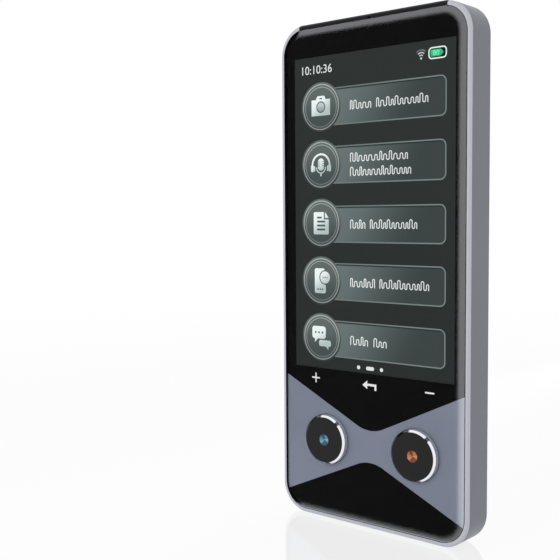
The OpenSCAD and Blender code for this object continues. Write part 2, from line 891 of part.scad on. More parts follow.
// A pressed steel can, open towards the board. One of its depths is the board's face.
module can(x, z, board_face, top) {
    low = min(board_face, top);
    high = max(board_face, top);
    inner = top < board_face ? [top + can_wall, high + over] : [low - over, top - can_wall];
    difference() {
        slab(x, z, [low, high]);
        slab([x[0] + can_wall, x[1] - can_wall], [z[0] + can_wall, z[1] - can_wall], inner);
    }
}

module processor_shield() {
    color("#c9c9cc")
        can(processor_x, processor_z, main_depth[1], main_depth[1] + shield_t);
}

module radio_shield() {
    color("#c9c9cc")
        can(radio_x, radio_z, main_depth[1], main_depth[1] + shield_t);
}

module front_shield() {
    color("#c9c9cc")
        can(radio_x, modem_z, main_depth[0], main_depth[0] - front_shield_t);
}

// Card reader: a steel cage with rails beside the tray and the rod, and the pin of the eject lever.
module sim_reader() {
    color("#bfc0c4") {
        difference() {
            slab(reader_x, reader_z, reader_depth);
            slab([reader_x[0] - over, reader_x[1] - can_wall],
                [reader_z[0] + can_wall, reader_z[1] - can_wall],
                [slide_depth[0] - loose, slide_depth[1] + loose]);
        }
        slab([reader_x[0], rail_end], [reader_z[0], blade_z[0] - loose], reader_depth);
        slab([reader_x[0], rail_end], [blade_z[1] + loose, rod_z - rod_w / 2 - loose], reader_depth);
        slab([reader_x[0], rail_end], [rod_z + rod_w / 2 + loose, reader_z[1]], reader_depth);
        bar([lever_x, lever_z], pivot_d / 2, reader_depth);
    }
}

// Tray: an end plate flush with the side, and a blade with a pocket for the card.
module sim_tray() {
    card_z = [blade_z[0] + blade_rim + 0.4, blade_z[1] - blade_rim - 0.4];
    card_x = [tray_back + blade_rim, tray_back + blade_rim + card_l + 2 * card_side];
    color("#9a9aa2")
        difference() {
            union() {
                translate([-body_w / 2, at_depth(tray_depth), tray_z])
                    side_stadium(tray_l, tray_w, body_w / 2 + tray_back);
                slab([tray_back - 0.3, tray_back + blade_l], blade_z, slide_depth);
            }
            slab(card_x, card_z, [slide_depth[0] - over, slide_depth[1] - card_floor_t]);
            slab([card_x[0] + 0.8, card_x[1] - 0.8], [card_z[0] + 0.8, card_z[1] - 0.8],
                [slide_depth[0] - over, slide_depth[1] + over]);
            translate([-body_w / 2 - over, at_depth(pinhole_depth), rod_z])
                rotate([0, 90, 0])
                    cylinder(d = pinhole_d, h = side_wall + 2 * over);
        }
}

module sim_card() {
    x = tray_back + blade_rim + card_side;
    z = blade_z[0] + blade_rim + 0.4 + card_side;
    cut = 1.2;
    color("#d9b24a")
        prism([card_front, card_front + card_t])
            polygon([[x, z], [x + card_l - cut, z], [x + card_l, z + cut], [x + card_l, z + card_w],
                [x, z + card_w]]);
}

module eject_rod() {
    color("#a8a8ac")
        slab(rod_x, [rod_z - rod_w / 2, rod_z + rod_w / 2], slide_depth);
}

module eject_lever() {
    color("#8c8c90")
        prism(slide_depth)
            difference() {
                union() {
                    translate([lever_x - lever_w / 2, lever_z - lever_low_arm])
                        square([lever_w, lever_low_arm + lever_arm + 0.4]);
                    translate([lever_x, lever_z])
                        circle(r = hub_r);
                }
                translate([lever_x, lever_z])
                    circle(r = pivot_d / 2 + loose);
            }
}

module battery_cell() {
    color("#b9bcc0")
        slab([battery_x, battery_x + battery_w], [battery_z, battery_top], battery_depth);
}

module battery_tape() {
    color("#d8d3c0")
        slab([battery_x + tape_margin, battery_x + battery_w - tape_margin],
            [battery_z + tape_margin, battery_top - tape_margin], [battery_depth[1], floor_depth]);
}

module battery_socket() {
    color("#e6e0d2")
        slab(socket_x, socket_z, [main_depth[1], main_depth[1] + socket_t]);
}

module battery_lead() {
    top = main_depth[1] + socket_t;
    color("#c48a2c")
        slab([socket_x[0] + 1, socket_x[1] - 1], [battery_top, socket_z[1] - 0.2], [top, top + lead_t]);
}

// Ribbon on the backs of the two boards.
module link_ribbon() {
    low = at_depth(lower_depth[1]);
    high = at_depth(main_depth[1]);
    color("#c48a2c")
        translate([ribbon_x[0], 0, 0])
            rotate([90, 0, 90])
                linear_extrude(ribbon_x[1] - ribbon_x[0])
                    polygon([[low, lower_z[1] - ribbon_lap], [low, lower_z[1] + 0.1],
                        [high, main_low - 0.1], [high, main_low + ribbon_lap],
                        [high + ribbon_t, main_low + ribbon_lap], [high + ribbon_t, main_low - 0.2],
                        [low + ribbon_t, lower_z[1]], [low + ribbon_t, lower_z[1] - ribbon_lap]]);
}

module button_board() {
    notch = port_w / 2 + 0.28;
    color("#1f5a3a")
        difference() {
            slab([-lower_x, lower_x], lower_z, lower_depth);
            slab([-notch, notch], [lower_z[0] - over, port_low + port_l + 0.4],
                [lower_depth[0] - over, lower_depth[1] + over]);
            for (at = lower_screw_at)
                bar(at, board_screw_d / 2 + 0.1, [lower_depth[0] - over, lower_depth[1] + over]);
        }
}

// Bright ring of a talk button: a straight wall in the lens hole and a bevel that stands proud.
module button_ring(side) {
    bevel_r = cap_top_r + 0.05;
    color("#dadade")
        translate([side * button_x, at_depth(0), button_z])
            rotate([-90, 0, 0])
                rotate_extrude()
                    polygon([[cap_top_r + film, flange_front], [ring_r, flange_front], [ring_r, 0],
                        [bevel_r, -button_rise], [cap_top_r + film, -button_rise]]);
}

module button_cap(side) {
    at = [side * button_x, button_z];
    color("#2a2a2a")
        difference() {
            bar(at, cap_top_r, [-button_rise, flange_front]);
            bar(at, dot_d / 2, [-button_rise - over, -button_rise + dot_t]);
        }
}

// Spun metal dot with a shallow dish.
module button_dot(side, tint) {
    r = dot_d / 2 - film;
    dish = 0.06;
    color(tint)
        translate([side * button_x, at_depth(-button_rise), button_z])
            rotate([-90, 0, 0])
                rotate_extrude()
                    polygon([[0, dish], [r - 0.2, 0.02], [r, 0.02], [r, dot_t], [0, dot_t]]);
}

// Flange that the lens keeps in, with a post for the switch.
module button_carrier(side) {
    at = [side * button_x, button_z];
    color("#3a3a3c") {
        bar(at, flange_r, [flange_front, flange_back]);
        bar(at, carrier_post_r, [flange_back - flange_t / 2, post_end]);
    }
}

module switch_stem(side) {
    bar([side * button_x, button_z], stem_r, [post_end, switch_front + stem_in]);
}

module switch_body(side) {
    at = [side * button_x, button_z];
    half = switch_w / 2;
    difference() {
        slab([at[0] - half, at[0] + half], [at[1] - half, at[1] + half], [switch_front, lower_depth[0]]);
        bar(at, stem_r + loose, [switch_front - over, switch_front + bore_depth]);
    }
}

module left_ring() { button_ring(-1); }
module left_cap() { button_cap(-1); }
module left_dot() { button_dot(-1, "#6fa0b8"); }
module left_carrier() { button_carrier(-1); }
module left_switch_stem() { color("#1d1d1d") switch_stem(-1); }
module left_switch_body() { color("#8f8f92") switch_body(-1); }
module right_ring() { button_ring(1); }
module right_cap() { button_cap(1); }
module right_dot() { button_dot(1, "#c8855a"); }
module right_carrier() { button_carrier(1); }
module right_switch_stem() { color("#1d1d1d") switch_stem(1); }
module right_switch_body() { color("#8f8f92") switch_body(1); }

// Power key: a bevelled bar through the wall, ears that keep it in, and a nub for the switch.
module power_key() {
    run = (key_l - key_w) / 2;
    low = key_w / 2 - key_bevel;
    high = key_w / 2;
    back = key_plate_back - key_face;
    color("#84797f")
        translate([key_face, at_depth(key_depth), key_z]) {
            for (m = [0, 1])
                mirror([0, 0, m])
                    translate([0, 0, run])
                        rotate([0, 90, 0])
                            rotate([0, 0, 90])
                                rotate_extrude(angle = 180)
                                    polygon([[0, 0], [low, 0], [high, key_bevel], [high, back], [0, back]]);
            translate([0, 0, -run])
                linear_extrude(2 * run)
                    polygon([[0, -low], [key_bevel, -high], [back, -high], [back, high], [key_bevel, high],
                        [0, low]]);
            translate([key_back - key_face, -high + 0.3, -key_l / 2 - key_ear])
                cube([key_plate_t, key_w - 0.6, key_l + 2 * key_ear]);
            translate([back - 0.1, 0, 0])
                rotate([0, 90, 0])
                    cylinder(r = key_stem_r + 0.4, h = key_nub_end - key_plate_back + 0.1);
        }
}

module power_switch_stem() {
    color("#1d1d1d")
        translate([key_nub_end, at_depth(key_depth), key_z])
            rotate([0, 90, 0])
                cylinder(r = key_stem_r, h = key_travel + 0.3 + stem_in);
}

module power_switch_body() {
    color("#8f8f92")
        difference() {
            slab([key_switch_x, key_switch_x + key_switch_t],
                [key_z - key_switch_half, key_z + key_switch_half],
                [key_depth - key_switch_deep, key_depth + key_switch_deep]);
            translate([key_switch_x - over, at_depth(key_depth), key_z])
                rotate([0, 90, 0])
                    cylinder(r = key_stem_r + loose, h = over + key_travel + stem_in + 0.1);
        }
}

module power_bracket() {
    color("#b5b5b8")
        slab([bracket_x, bracket_x + bracket_t], [key_z - bracket_half, key_z + bracket_half],
            [plate_back, floor_depth]);
}

module usb_port() {
    wing = [[port_w / 2 - 1.2, port_w / 2 + 1.3], [3.4, 6.4], [lower_depth[0] - 0.2, lower_depth[0]]];
    color("#c4c4c8")
        difference() {
            union() {
                translate([0, at_depth(port_depth), port_low])
                    end_stadium(port_w, port_h, port_l);
                for (m = [0, 1])
                    mirror([m, 0, 0])
                        slab(wing[0], wing[1], wing[2]);
            }
            translate([0, at_depth(port_depth), port_low - over])
                end_stadium(port_w - 2 * port_wall, port_h - 2 * port_wall, port_l - 0.6 + over);
        }
}

module usb_tongue() {
    color("#18181a")
        slab([-tongue_w / 2, tongue_w / 2], [port_low + 0.7, port_low + port_l - 0.6],
            [port_depth - 0.35, port_depth + 0.35]);
}

module speaker_frame() {
    color("#26262a")
        difference() {
            slab([-speaker_w / 2, speaker_w / 2], [grille_z - speaker_h / 2, grille_z + speaker_h / 2],
                [speaker_front, speaker_back]);
            prism([speaker_back - cone_t - cone_drop, speaker_back + over])
                translate([0, grille_z])
                    rounded(speaker_w - 2 * speaker_rim, speaker_h - 2 * speaker_rim, cone_r);
        }
}

module speaker_cone() {
    color("#4a4a4e")
        prism([speaker_back - cone_t - cone_drop, speaker_back - cone_drop])
            translate([0, grille_z])
                rounded(speaker_w - 2 * speaker_rim - 0.2, speaker_h - 2 * speaker_rim - 0.2, 1.9);
}

module speaker_gasket() {
    color("#1c1c1c")
        prism([speaker_back, speaker_back + speaker_gasket_t])
            translate([0, grille_z])
                difference() {
                    rounded(speaker_w - 0.4, speaker_h - 0.4, 0.5);
                    rounded(speaker_w - 2 * speaker_rim, speaker_h - 2 * speaker_rim, cone_r);
                }
}

module speaker_mesh() {
    color("#0c0c0c")
        prism([floor_depth - mesh_t, floor_depth])
            translate([0, grille_z])
                rounded(speaker_w - 0.4, speaker_h - 0.4, 0.5);
}

module top_microphone() {
    color("#c9c9a8")
        slab([-mic_size[0] / 2, mic_size[0] / 2], [main_high - 0.2 - mic_size[2], main_high - 0.2],
            [main_depth[1], main_depth[1] + mic_size[1]]);
}

module bottom_microphone() {
    color("#c9c9a8")
        slab([mic_x - mic_size[0] / 2, mic_x + mic_size[0] / 2], [lower_z[0], lower_z[0] + mic_size[2]],
            [lower_depth[1], lower_depth[1] + mic_size[1]]);
}

module antenna_flex() {
    color("#c48a2c")
        slab([antenna_edge - cap_half_w, cap_half_w - antenna_edge],
            [body_h - cap_h + antenna_low_gap, body_h - side_wall - antenna_top_gap],
            [floor_depth - antenna_t, floor_depth]);
}

rear_shell();
antenna_cap();
camera_bezel();
camera_window();
camera_disc();
camera_module();
cover_lens();
black_print();
bow_tie_print();
lens_gasket();
display_panel();
backlight_unit();
display_flex();
mid_frame();
frame_screws();
main_board();
main_chips();
processor_shield();
radio_shield();
front_shield();
sim_reader();
sim_tray();
sim_card();
eject_rod();
eject_lever();
battery_cell();
battery_tape();
battery_lead();
battery_socket();
link_ribbon();
button_board();
board_screws();
left_ring();
left_cap();
left_dot();
left_carrier();
left_switch_stem();
left_switch_body();
right_ring();
right_cap();
right_dot();
right_carrier();
right_switch_stem();
right_switch_body();
power_key();
power_switch_stem();
power_switch_body();
power_bracket();
usb_port();
usb_tongue();
speaker_frame();
speaker_cone();
speaker_gasket();
speaker_mesh();
top_microphone();
bottom_microphone();
antenna_flex();
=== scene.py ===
"""Dresses the handheld translator: metal body, curved glass, lit menu, talk buttons, camera, inner parts."""

from __future__ import annotations

import logging
import math
from dataclasses import dataclass, field
from enum import Enum
from typing import Any, Sequence

import bpy
from mathutils import Matrix, Vector

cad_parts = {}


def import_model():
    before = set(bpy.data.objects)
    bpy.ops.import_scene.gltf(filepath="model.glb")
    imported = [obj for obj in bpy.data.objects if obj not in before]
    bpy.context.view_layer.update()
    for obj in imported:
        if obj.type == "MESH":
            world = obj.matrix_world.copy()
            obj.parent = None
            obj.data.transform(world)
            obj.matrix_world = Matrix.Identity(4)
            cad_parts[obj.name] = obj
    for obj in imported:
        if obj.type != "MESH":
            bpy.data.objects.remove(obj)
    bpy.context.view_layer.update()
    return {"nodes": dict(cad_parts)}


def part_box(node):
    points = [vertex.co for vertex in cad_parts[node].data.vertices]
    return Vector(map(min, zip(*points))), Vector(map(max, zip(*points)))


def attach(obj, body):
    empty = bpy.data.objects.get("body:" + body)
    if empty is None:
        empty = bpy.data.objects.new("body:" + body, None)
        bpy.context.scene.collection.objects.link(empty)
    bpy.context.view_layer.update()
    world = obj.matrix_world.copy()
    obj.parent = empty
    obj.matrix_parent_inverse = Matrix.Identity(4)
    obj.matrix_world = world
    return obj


LOG = logging.getLogger("translator")

Point = tuple[float, float]
Span = tuple[float, float]
Place = tuple[float, float, float]
Colour = tuple[float, float, float, float]
Loop = list[Point]

MM = 0.001
WHITE: Colour = (1.0, 1.0, 1.0, 1.0)
BLACK: Colour = (0.0, 0.0, 0.0, 1.0)
# The refractive index of what lies behind the coated glass. It gives the prints and the screen a faint sheen.
GLASS_SHEEN = 1.11
# The middle of the camera in millimetres, to the right and up.
CAMERA_CENTRE: Point = (0.0, 114.1)


def tone(red: float, green: float, blue: float) -> Colour:
    """Turns a screen colour into the linear colour that a shader takes.

    Args:
        red: Red, 0 to 255.
        green: Green, 0 to 255.
        blue: Blue, 0 to 255.

    Returns:
        The linear colour with full alpha.
    """
    shares = (red / 255, green / 255, blue / 255)
    parts = [s / 12.92 if s <= 0.04045 else ((s + 0.055) / 1.055) ** 2.4 for s in shares]
    return (parts[0], parts[1], parts[2], 1.0)


def shaded(colour: Colour, share: float) -> Colour:
    """Gives a colour made darker or lighter by a share of itself, up to white."""
    red, green, blue = (min(1.0, part * share) for part in colour[:3])
    return (red, green, blue, 1.0)


class Signal:
    """An output of a shader node that takes part in arithmetic."""

    def __init__(self, paint: Paint, socket: bpy.types.NodeSocket) -> None:
        """Holds the socket and the paint that it belongs to."""
        self.paint = paint
        self.socket = socket

    def _math(self, operation: str, first: Any, second: Any = 0.0) -> Signal:
        """Adds a Math node on one or two values."""
        return self.paint.node("ShaderNodeMath", {"operation": operation}, {0: first, 1: second})

    def __add__(self, other: Any) -> Signal:
        """Adds a value."""
        return self._math("ADD", self, other)

    def __radd__(self, other: Any) -> Signal:
        """Adds to a number."""
        return self._math("ADD", other, self)

    def __sub__(self, other: Any) -> Signal:
        """Takes a value away."""
        return self._math("SUBTRACT", self, other)

    def __rsub__(self, other: Any) -> Signal:
        """Takes this away from a number."""
        return self._math("SUBTRACT", other, self)

    def __mul__(self, other: Any) -> Signal:
        """Multiplies by a value."""
        return self._math("MULTIPLY", self, other)

    def __truediv__(self, other: Any) -> Signal:
        """Divides by a value."""
        return self._math("DIVIDE", self, other)

    def __neg__(self) -> Signal:
        """Turns the sign."""
        return self._math("MULTIPLY", self, -1.0)

    def size(self) -> Signal:
        """Gives the value without its sign."""
        return self._math("ABSOLUTE", self)

    def root(self) -> Signal:
        """Gives the square root."""
        return self._math("SQRT", self)

    def sine(self) -> Signal:
        """Gives the sine of the value in radians."""
        return self._math("SINE", self)

    def repeat(self, length: float) -> Signal:
        """Gives the value's place within a repeat of this length."""
        return self._math("FLOORED_MODULO", self, length)

    def angle_to(self, other: Any) -> Signal:
        """Gives the angle of this value over another one."""
        return self._math("ARCTAN2", self, other)

    def lesser(self, other: Any) -> Signal:
        """Gives the smaller of two values."""
        return self._math("MINIMUM", self, other)

    def greater(self, other: Any) -> Signal:
        """Gives the larger of two values."""
        return self._math("MAXIMUM", self, other)

    def rise(self, low: float, high: float, bottom: float = 0.0, top: float = 1.0) -> Signal:
        """Goes softly from bottom to top as this value goes from low to high."""
        return self.paint.node("ShaderNodeMapRange", {"interpolation_type": "SMOOTHSTEP"},
                               {0: self, 1: low, 2: high, 3: bottom, 4: top})

    def ridge(self, low: Span, high: Span) -> Signal:
        """Rises softly over the low span and falls again over the high one."""
        return self.rise(*low) * (1 - self.rise(*high))

    def off_centre(self, pitch: float) -> Signal:
        """Gives how far the value lies from the middle of its repeat, as a share of the pitch."""
        return (self.repeat(pitch) / pitch - 0.5).size()


class Paint:
    """The nodes of a material or a world, with one way to add each of them."""

    def __init__(self, name: str, store: Any = None) -> None:
        """Starts empty nodes, in a new material where no other store of data is given.

        Args:
            name: The name of what the nodes belong to.
            store: Where that is made, such as the scene's worlds.
        """
        self.owner = (bpy.data.materials if store is None else store).new(name)
        self.owner.use_nodes = True
        self.tree = self.owner.node_tree
        self.tree.nodes.clear()

    def node(self, kind: str, settings: dict[str, Any] | None = None,
             sockets: dict[int | str, Any] | None = None, output: int | str = 0) -> Signal:
        """Adds a node, sets it up and feeds its sockets.

        Args:
            kind: The node's type.
            settings: Its properties, and a ramp's stops.
            sockets: A value or a signal for each input, by name or number.
            output: The output to hand back.

        Returns:
            The chosen output.
        """
        made = self.tree.nodes.new(kind)
        for key, value in (settings or {}).items():
            if key == "stops":
                stops = made.color_ramp.elements
                stops.remove(stops[-1])
                stops[0].position, stops[0].color = value[0]
                for at, colour in value[1:]:
                    stops.new(at).color = colour
            else:
                setattr(made, key, value)
        for key, value in (sockets or {}).items():
            if isinstance(value, Signal):
                self.tree.links.new(value.socket, made.inputs[key])
            else:
                made.inputs[key].default_value = value
        return Signal(self, made.outputs[output])

    def place(self, centre: Point = (0.0, 0.0), length: float = 1.0) -> Signal:
        """Gives the place on the object in millimetres from a centre, with the body's length scaled."""
        at = self.node("ShaderNodeTexCoord", output="Object")
        return self.node("ShaderNodeMapping", None, {"Vector": at, "Location": (-centre[0], 0, -centre[1]),
                                                     "Scale": (1 / MM, 1 / MM, length / MM)})

    def axes(self, vector: Signal | None = None) -> tuple[Signal, Signal, Signal]:
        """Splits a vector into its three parts.

        Args:
            vector: The vector, or None for the place on the object.

        Returns:
            The three parts.
        """
        split = self.tree.nodes.new("ShaderNodeSeparateXYZ")
        self.tree.links.new((vector or self.place()).socket, split.inputs[0])
        return tuple(Signal(self, out) for out in split.outputs)

    def noise(self, scale: float, detail: float = 3.0, rough: float = 0.5, length: float = 1.0) -> Signal:
        """Adds soft noise with this many waves to the millimetre, drawn out where length is small."""
        return self.node("ShaderNodeTexNoise", None, {
            "Vector": self.place(length=length), "Scale": scale, "Detail": detail, "Roughness": rough})

    def cells(self, scale: float, output: str = "Distance") -> Signal:
        """Adds a pattern of cells with this many to the millimetre."""
        return self.node("ShaderNodeTexVoronoi", None, {"Vector": self.place(), "Scale": scale}, output)

    def blend(self, share: Any, first: Any, second: Any) -> Signal:
        """Mixes a share of the second colour into the first."""
        return self.node("ShaderNodeMix", {"data_type": "RGBA"}, {0: share, 6: first, 7: second}, 2)

    def facing(self) -> tuple[Signal, Signal, Signal]:
        """Gives the parts of the surface's own direction."""
        return self.axes(self.node("ShaderNodeTexCoord", output="Normal"))

    def polar(self, centre: Point) -> tuple[Signal, Signal]:
        """Gives the distance from a centre on the front or back, and the angle round it."""
        x, _, z = self.axes(self.place(centre))
        return (x * x + z * z).root(), z.angle_to(x)

    def seen(self) -> Signal:
        """Tells what is looked at from what gives light.

        Returns:
            1 for what is seen straight, in a mirror or through glass, and 0 for the rest.
        """
        outputs = self.tree.nodes.new("ShaderNodeLightPath").outputs
        straight, mirrored, through = (
            Signal(self, outputs[f"Is {kind} Ray"]) for kind in ("Camera", "Glossy", "Transmission"))
        return straight.greater(mirrored).greater(through)

    def cover(self, sockets: dict[str, Any], height: Signal | None = None, relief: float = 0.02,
              strength: float = 1.0) -> bpy.types.Material:
        """Ends the material with its shader.

        Args:
            sockets: What goes into the shader's sockets.
            height: A height from 0 to 1 that gives the surface its relief.
            relief: What a height of 1 measures in millimetres.
            strength: How strongly the relief shows.

        Returns:
            The material.
        """
        if height is not None:
            bump = {"Strength": strength, "Distance": relief * MM, "Height": height}
            sockets = sockets | {"Normal": self.node("ShaderNodeBump", None, bump)}
        return self.end(self.node("ShaderNodeBsdfPrincipled", None, sockets))

    def end(self, shader: Signal, output: str = "ShaderNodeOutputMaterial") -> bpy.types.ID:
        """Ends the nodes with this shader and hands back what they belong to."""
        self.tree.links.new(shader.socket, self.tree.nodes.new(output).inputs["Surface"])
        return self.owner


@dataclass(frozen=True)
class Finish:
    """A surface finish that can be put on a piece."""

    name: str

    def coat(self, paint: Paint) -> bpy.types.Material:
        """Builds the material."""
        raise NotImplementedError

    def on(self, *pieces: bpy.types.Object) -> None:
        """Puts one material of this finish on the pieces.

        Args:
            pieces: The objects to coat.
        """
        material = self.coat(Paint(self.name))
        for piece in pieces:
            if not piece.material_slots:
                piece.data.materials.append(material)
            for place in piece.material_slots:
                place.material = material


@dataclass(frozen=True)
class BlastedAluminium(Finish):
    """Bead-blasted, anodised aluminium, whose front edge may be cut bright as far back as cut_end."""

    colour: Colour
    cut_colour: Colour = tone(194, 194, 204)
    roughness: float = 0.36
    grain: float = 7.0
    cut_end: float | None = None
    metal: float = 0.5
    shades: Span = (0.86, 1.12)

    def coat(self, paint: Paint) -> bpy.types.Material:
        """Builds the material."""
        grain = paint.noise(self.grain, 4.0, 0.65)
        cloud = paint.noise(0.035, 2.0)
        speck = paint.cells(self.grain * 0.8).rise(0.05, 0.5)
        dark, light = (shaded(self.colour, share) for share in self.shades)
        colour = paint.blend(grain.rise(0.3, 0.7) * 0.75 + cloud * 0.25, dark, light)
        rough = self.roughness - 0.05 + grain * 0.1
        if self.cut_end is not None:
            cut = 1 - paint.axes()[1].rise(self.cut_end - 0.03, self.cut_end + 0.03)
            colour = paint.blend(cut, colour, self.cut_colour)
            rough = rough * (1 - cut * 0.45)
        height = grain * 0.7 + speck * 0.3
        # Subclasses add painted shade to the colour here.
        return paint.cover({"Base Color": self._paint_shade(paint, colour), "Metallic": self.metal,
                            "Roughness": rough, "Specular IOR Level": 0.3}, height, 0.006, 0.5)

    def _paint_shade(self, paint: Paint, colour: Signal) -> Signal:
        """Gives the colour as it is, with no painted shade."""
        return colour


@dataclass(frozen=True)
class Recess:
    """A box with round corners, drawn in a face, whose inner walls or edge get painted shade. All in
    millimetres.
    """

    centre: Point
    half: Point
    corner: float
    # How far the painted shade reaches at the edge.
    edge: float = 0.02

    def reach(self, across: Signal, up: Signal) -> Signal:
        """Gives how far a place lies beyond the box, less than zero inside it.

        Args:
            across: The place's first coordinate.
            up: Its second coordinate.

        Returns:
            The distance from the box's outline.
        """
        side = ((across - self.centre[0]).size() - (self.half[0] - self.corner)).greater(0.0)
        top = ((up - self.centre[1]).size() - (self.half[1] - self.corner)).greater(0.0)
        return (side * side + top * top).root() - self.corner


@dataclass(frozen=True)
class ShellMetal(BlastedAluminium):
    """The body's metal: painted shade darkens its wall round the glass and the walls of its grille holes."""

    seat: Recess = Recess((0, 0), (1, 1), 0)
    grille: Recess = Recess((0, 0), (1, 1), 0)
    seat_depth: float = -3.4
    skin: float = 5.4
    # The colour of the painted shade.
    shade: Colour = tone(20, 20, 22)

    def _paint_shade(self, paint: Paint, colour: Signal) -> Signal:
        """Paints shade on the walls that glass or sound go through.

        Args:
            paint: The material's nodes.
            colour: The metal's colour.

        Returns:
            The colour with the painted shade on those walls.
        """
        x, y, z = paint.axes()
        # Painted shade on the wall round the glass and inside the grille holes.
        seat = (1 - self.seat.reach(x, z).rise(self.seat.edge, self.seat.edge * 2)) * (
            1 - y.rise(self.seat_depth, self.seat_depth + 0.1))
        hole = (1 - self.grille.reach(x, z).rise(0.0, 0.1)) * (1 - y.rise(self.skin, self.skin + 0.03))
        return paint.blend(seat.greater(hole), colour, self.shade)


@dataclass(frozen=True)
class TrayMetal(BlastedAluminium):
    """The tray's metal, with painted shade as a dark line round its outer face."""

    face: Recess = Recess((0, 0), (1, 1), 0)
    shade: Colour = tone(44, 44, 47)

    def _paint_shade(self, paint: Paint, colour: Signal) -> Signal:
        """Paints shade as a dark line along the edge of the face.

        Args:
            paint: The material's nodes.
            colour: The metal's colour.

        Returns:
            The colour with the painted shade at the edge.
        """
        _, y, z = paint.axes()
        # Painted shade along the outline of the tray's face.
        rim = self.face.reach(y, z).rise(-self.face.edge, -self.face.edge * 0.6)
        return paint.blend(rim, colour, self.shade)


@dataclass(frozen=True)
class SatinKey(Finish):
    """A side key with a satin face, a polished bevel with a painted highlight on its upper end, and painted
    shade on its flanks.
    """

    face: Colour = tone(122, 111, 115)
    # The bevel colour is its shaded copy; the next two are a painted highlight for its upper end and painted
    # shade for the flanks.
    bevel: Colour = tone(84, 81, 86)
    painted_crown_highlight: Colour = tone(214, 213, 218)
    painted_flank_shade: Colour = tone(70, 67, 72)
    bevel_turn: Span = (0.3, 0.5)
    face_turn: Span = (0.84, 0.92)
    crown_turn: Span = (0.3, 0.6)

    def coat(self, paint: Paint) -> bpy.types.Material:
        """Builds the material."""
        side, _, up = paint.facing()
        outward = -side
        grain = paint.noise(7.0, 4.0, 0.65)
        face = paint.blend(grain.rise(0.3, 0.7), shaded(self.face, 0.85), self.face)
        slope, top = outward.rise(*self.bevel_turn), outward.rise(*self.face_turn)
        # Painted highlight where the bevel faces up; elsewhere the bevel takes its shaded copy.
        bevel = paint.blend(up.rise(*self.crown_turn), self.bevel, self.painted_crown_highlight)
        # Painted shade on the flanks, round the bevel and face.
        colour = paint.blend(top, paint.blend(slope, self.painted_flank_shade, bevel), face)
        return paint.cover({"Base Color": colour, "Metallic": 0.85, "Roughness": 0.14 + top * 0.2},
                           grain, 0.005, 0.4)


@dataclass(frozen=True)
class PolishedMetal(Finish):
    """Plated or polished metal with fine hairlines and a few faint smears."""

    colour: Colour
    roughness: float = 0.07
    smear: float = 0.05

    def coat(self, paint: Paint) -> bpy.types.Material:
        """Builds the material."""
        lines = paint.noise(9.0, 2.0, length=0.2)
        smear = paint.noise(0.5, 3.0)
        colour = paint.blend(smear.rise(0.35, 0.7), self.colour, shaded(self.colour, 0.9))
        return paint.cover({"Base Color": colour, "Metallic": 1.0,
                            "Roughness": self.roughness + smear * self.smear}, lines, 0.001, 0.25)


@dataclass(frozen=True)
class ChromeRing(Finish):
    """Mirror chrome on a bevelled ring with painted reflections: bright on one side, dark on the other, with
    a painted highlight line on the dark side.
    """

    centre: Point
    inner: float = 6.33
    # Painted reflections: the bright side, the dark side and a highlight line on it, set by angle and radius
    # round the centre.
    bright: Colour = tone(240, 240, 243)
    dark: Colour = tone(46, 46, 49)
    painted_glint: Colour = tone(150, 150, 154)
    lit_from: Span = (-2.02, -1.78)
    lit_to: Span = (1.69, 1.81)
    gap: float = 0.87
    line_from: float = 0.22
    line_to: float = 0.36

    def coat(self, paint: Paint) -> bpy.types.Material:
        """Builds the material."""
        radius, angle = paint.polar(self.centre)
        smear = paint.noise(0.6, 3.0)
        # Painted reflection: the bright side lies between the two angle spans, broken at the gap angle.
        side = angle.ridge(self.lit_from, self.lit_to) * (angle - self.gap).size().rise(0.06, 0.12)
        out = radius - self.inner
        line = out.ridge((self.line_from, self.line_from + 0.08), (self.line_to, self.line_to + 0.08))
        # Painted highlight line on the dark side, then the painted bright side; inside the inner radius the
        # ring takes the painted dark.
        colour = paint.blend(side, paint.blend(line * 0.7, self.dark, self.painted_glint), self.bright)
        colour = paint.blend(out.rise(-0.05, 0.05), self.dark, colour)
        return paint.cover({"Base Color": colour, "Metallic": 1.0, "Roughness": 0.05 + smear * 0.06},
                           smear, 0.001, 0.2)


@dataclass(frozen=True)
class LacqueredRim(Finish):
    """Gloss black lacquer with a painted highlight on its bevelled edge, a little lighter, broken up by wear.
    """

    face: Colour = tone(7, 7, 8)
    # Painted highlight colour for the bevelled edge.
    chamfer_highlight: Colour = tone(50, 49, 53)

    def coat(self, paint: Paint) -> bpy.types.Material:
        """Builds the material."""
        _, back, _ = paint.facing()
        wear_and_sheen = paint.noise(1.5, 4.0, 0.6)
        # Painted highlight on the faces that turn away from the back, broken up by wear.
        slope = (1 - back.rise(0.85, 0.97)) * (0.85 + wear_and_sheen * 0.3)
        return paint.cover({"Base Color": paint.blend(slope.lesser(1.0), self.face, self.chamfer_highlight),
                            "Roughness": 0.14 + wear_and_sheen * 0.08, "Specular IOR Level": 0.05}, wear_and_sheen, 0.001, 0.2)


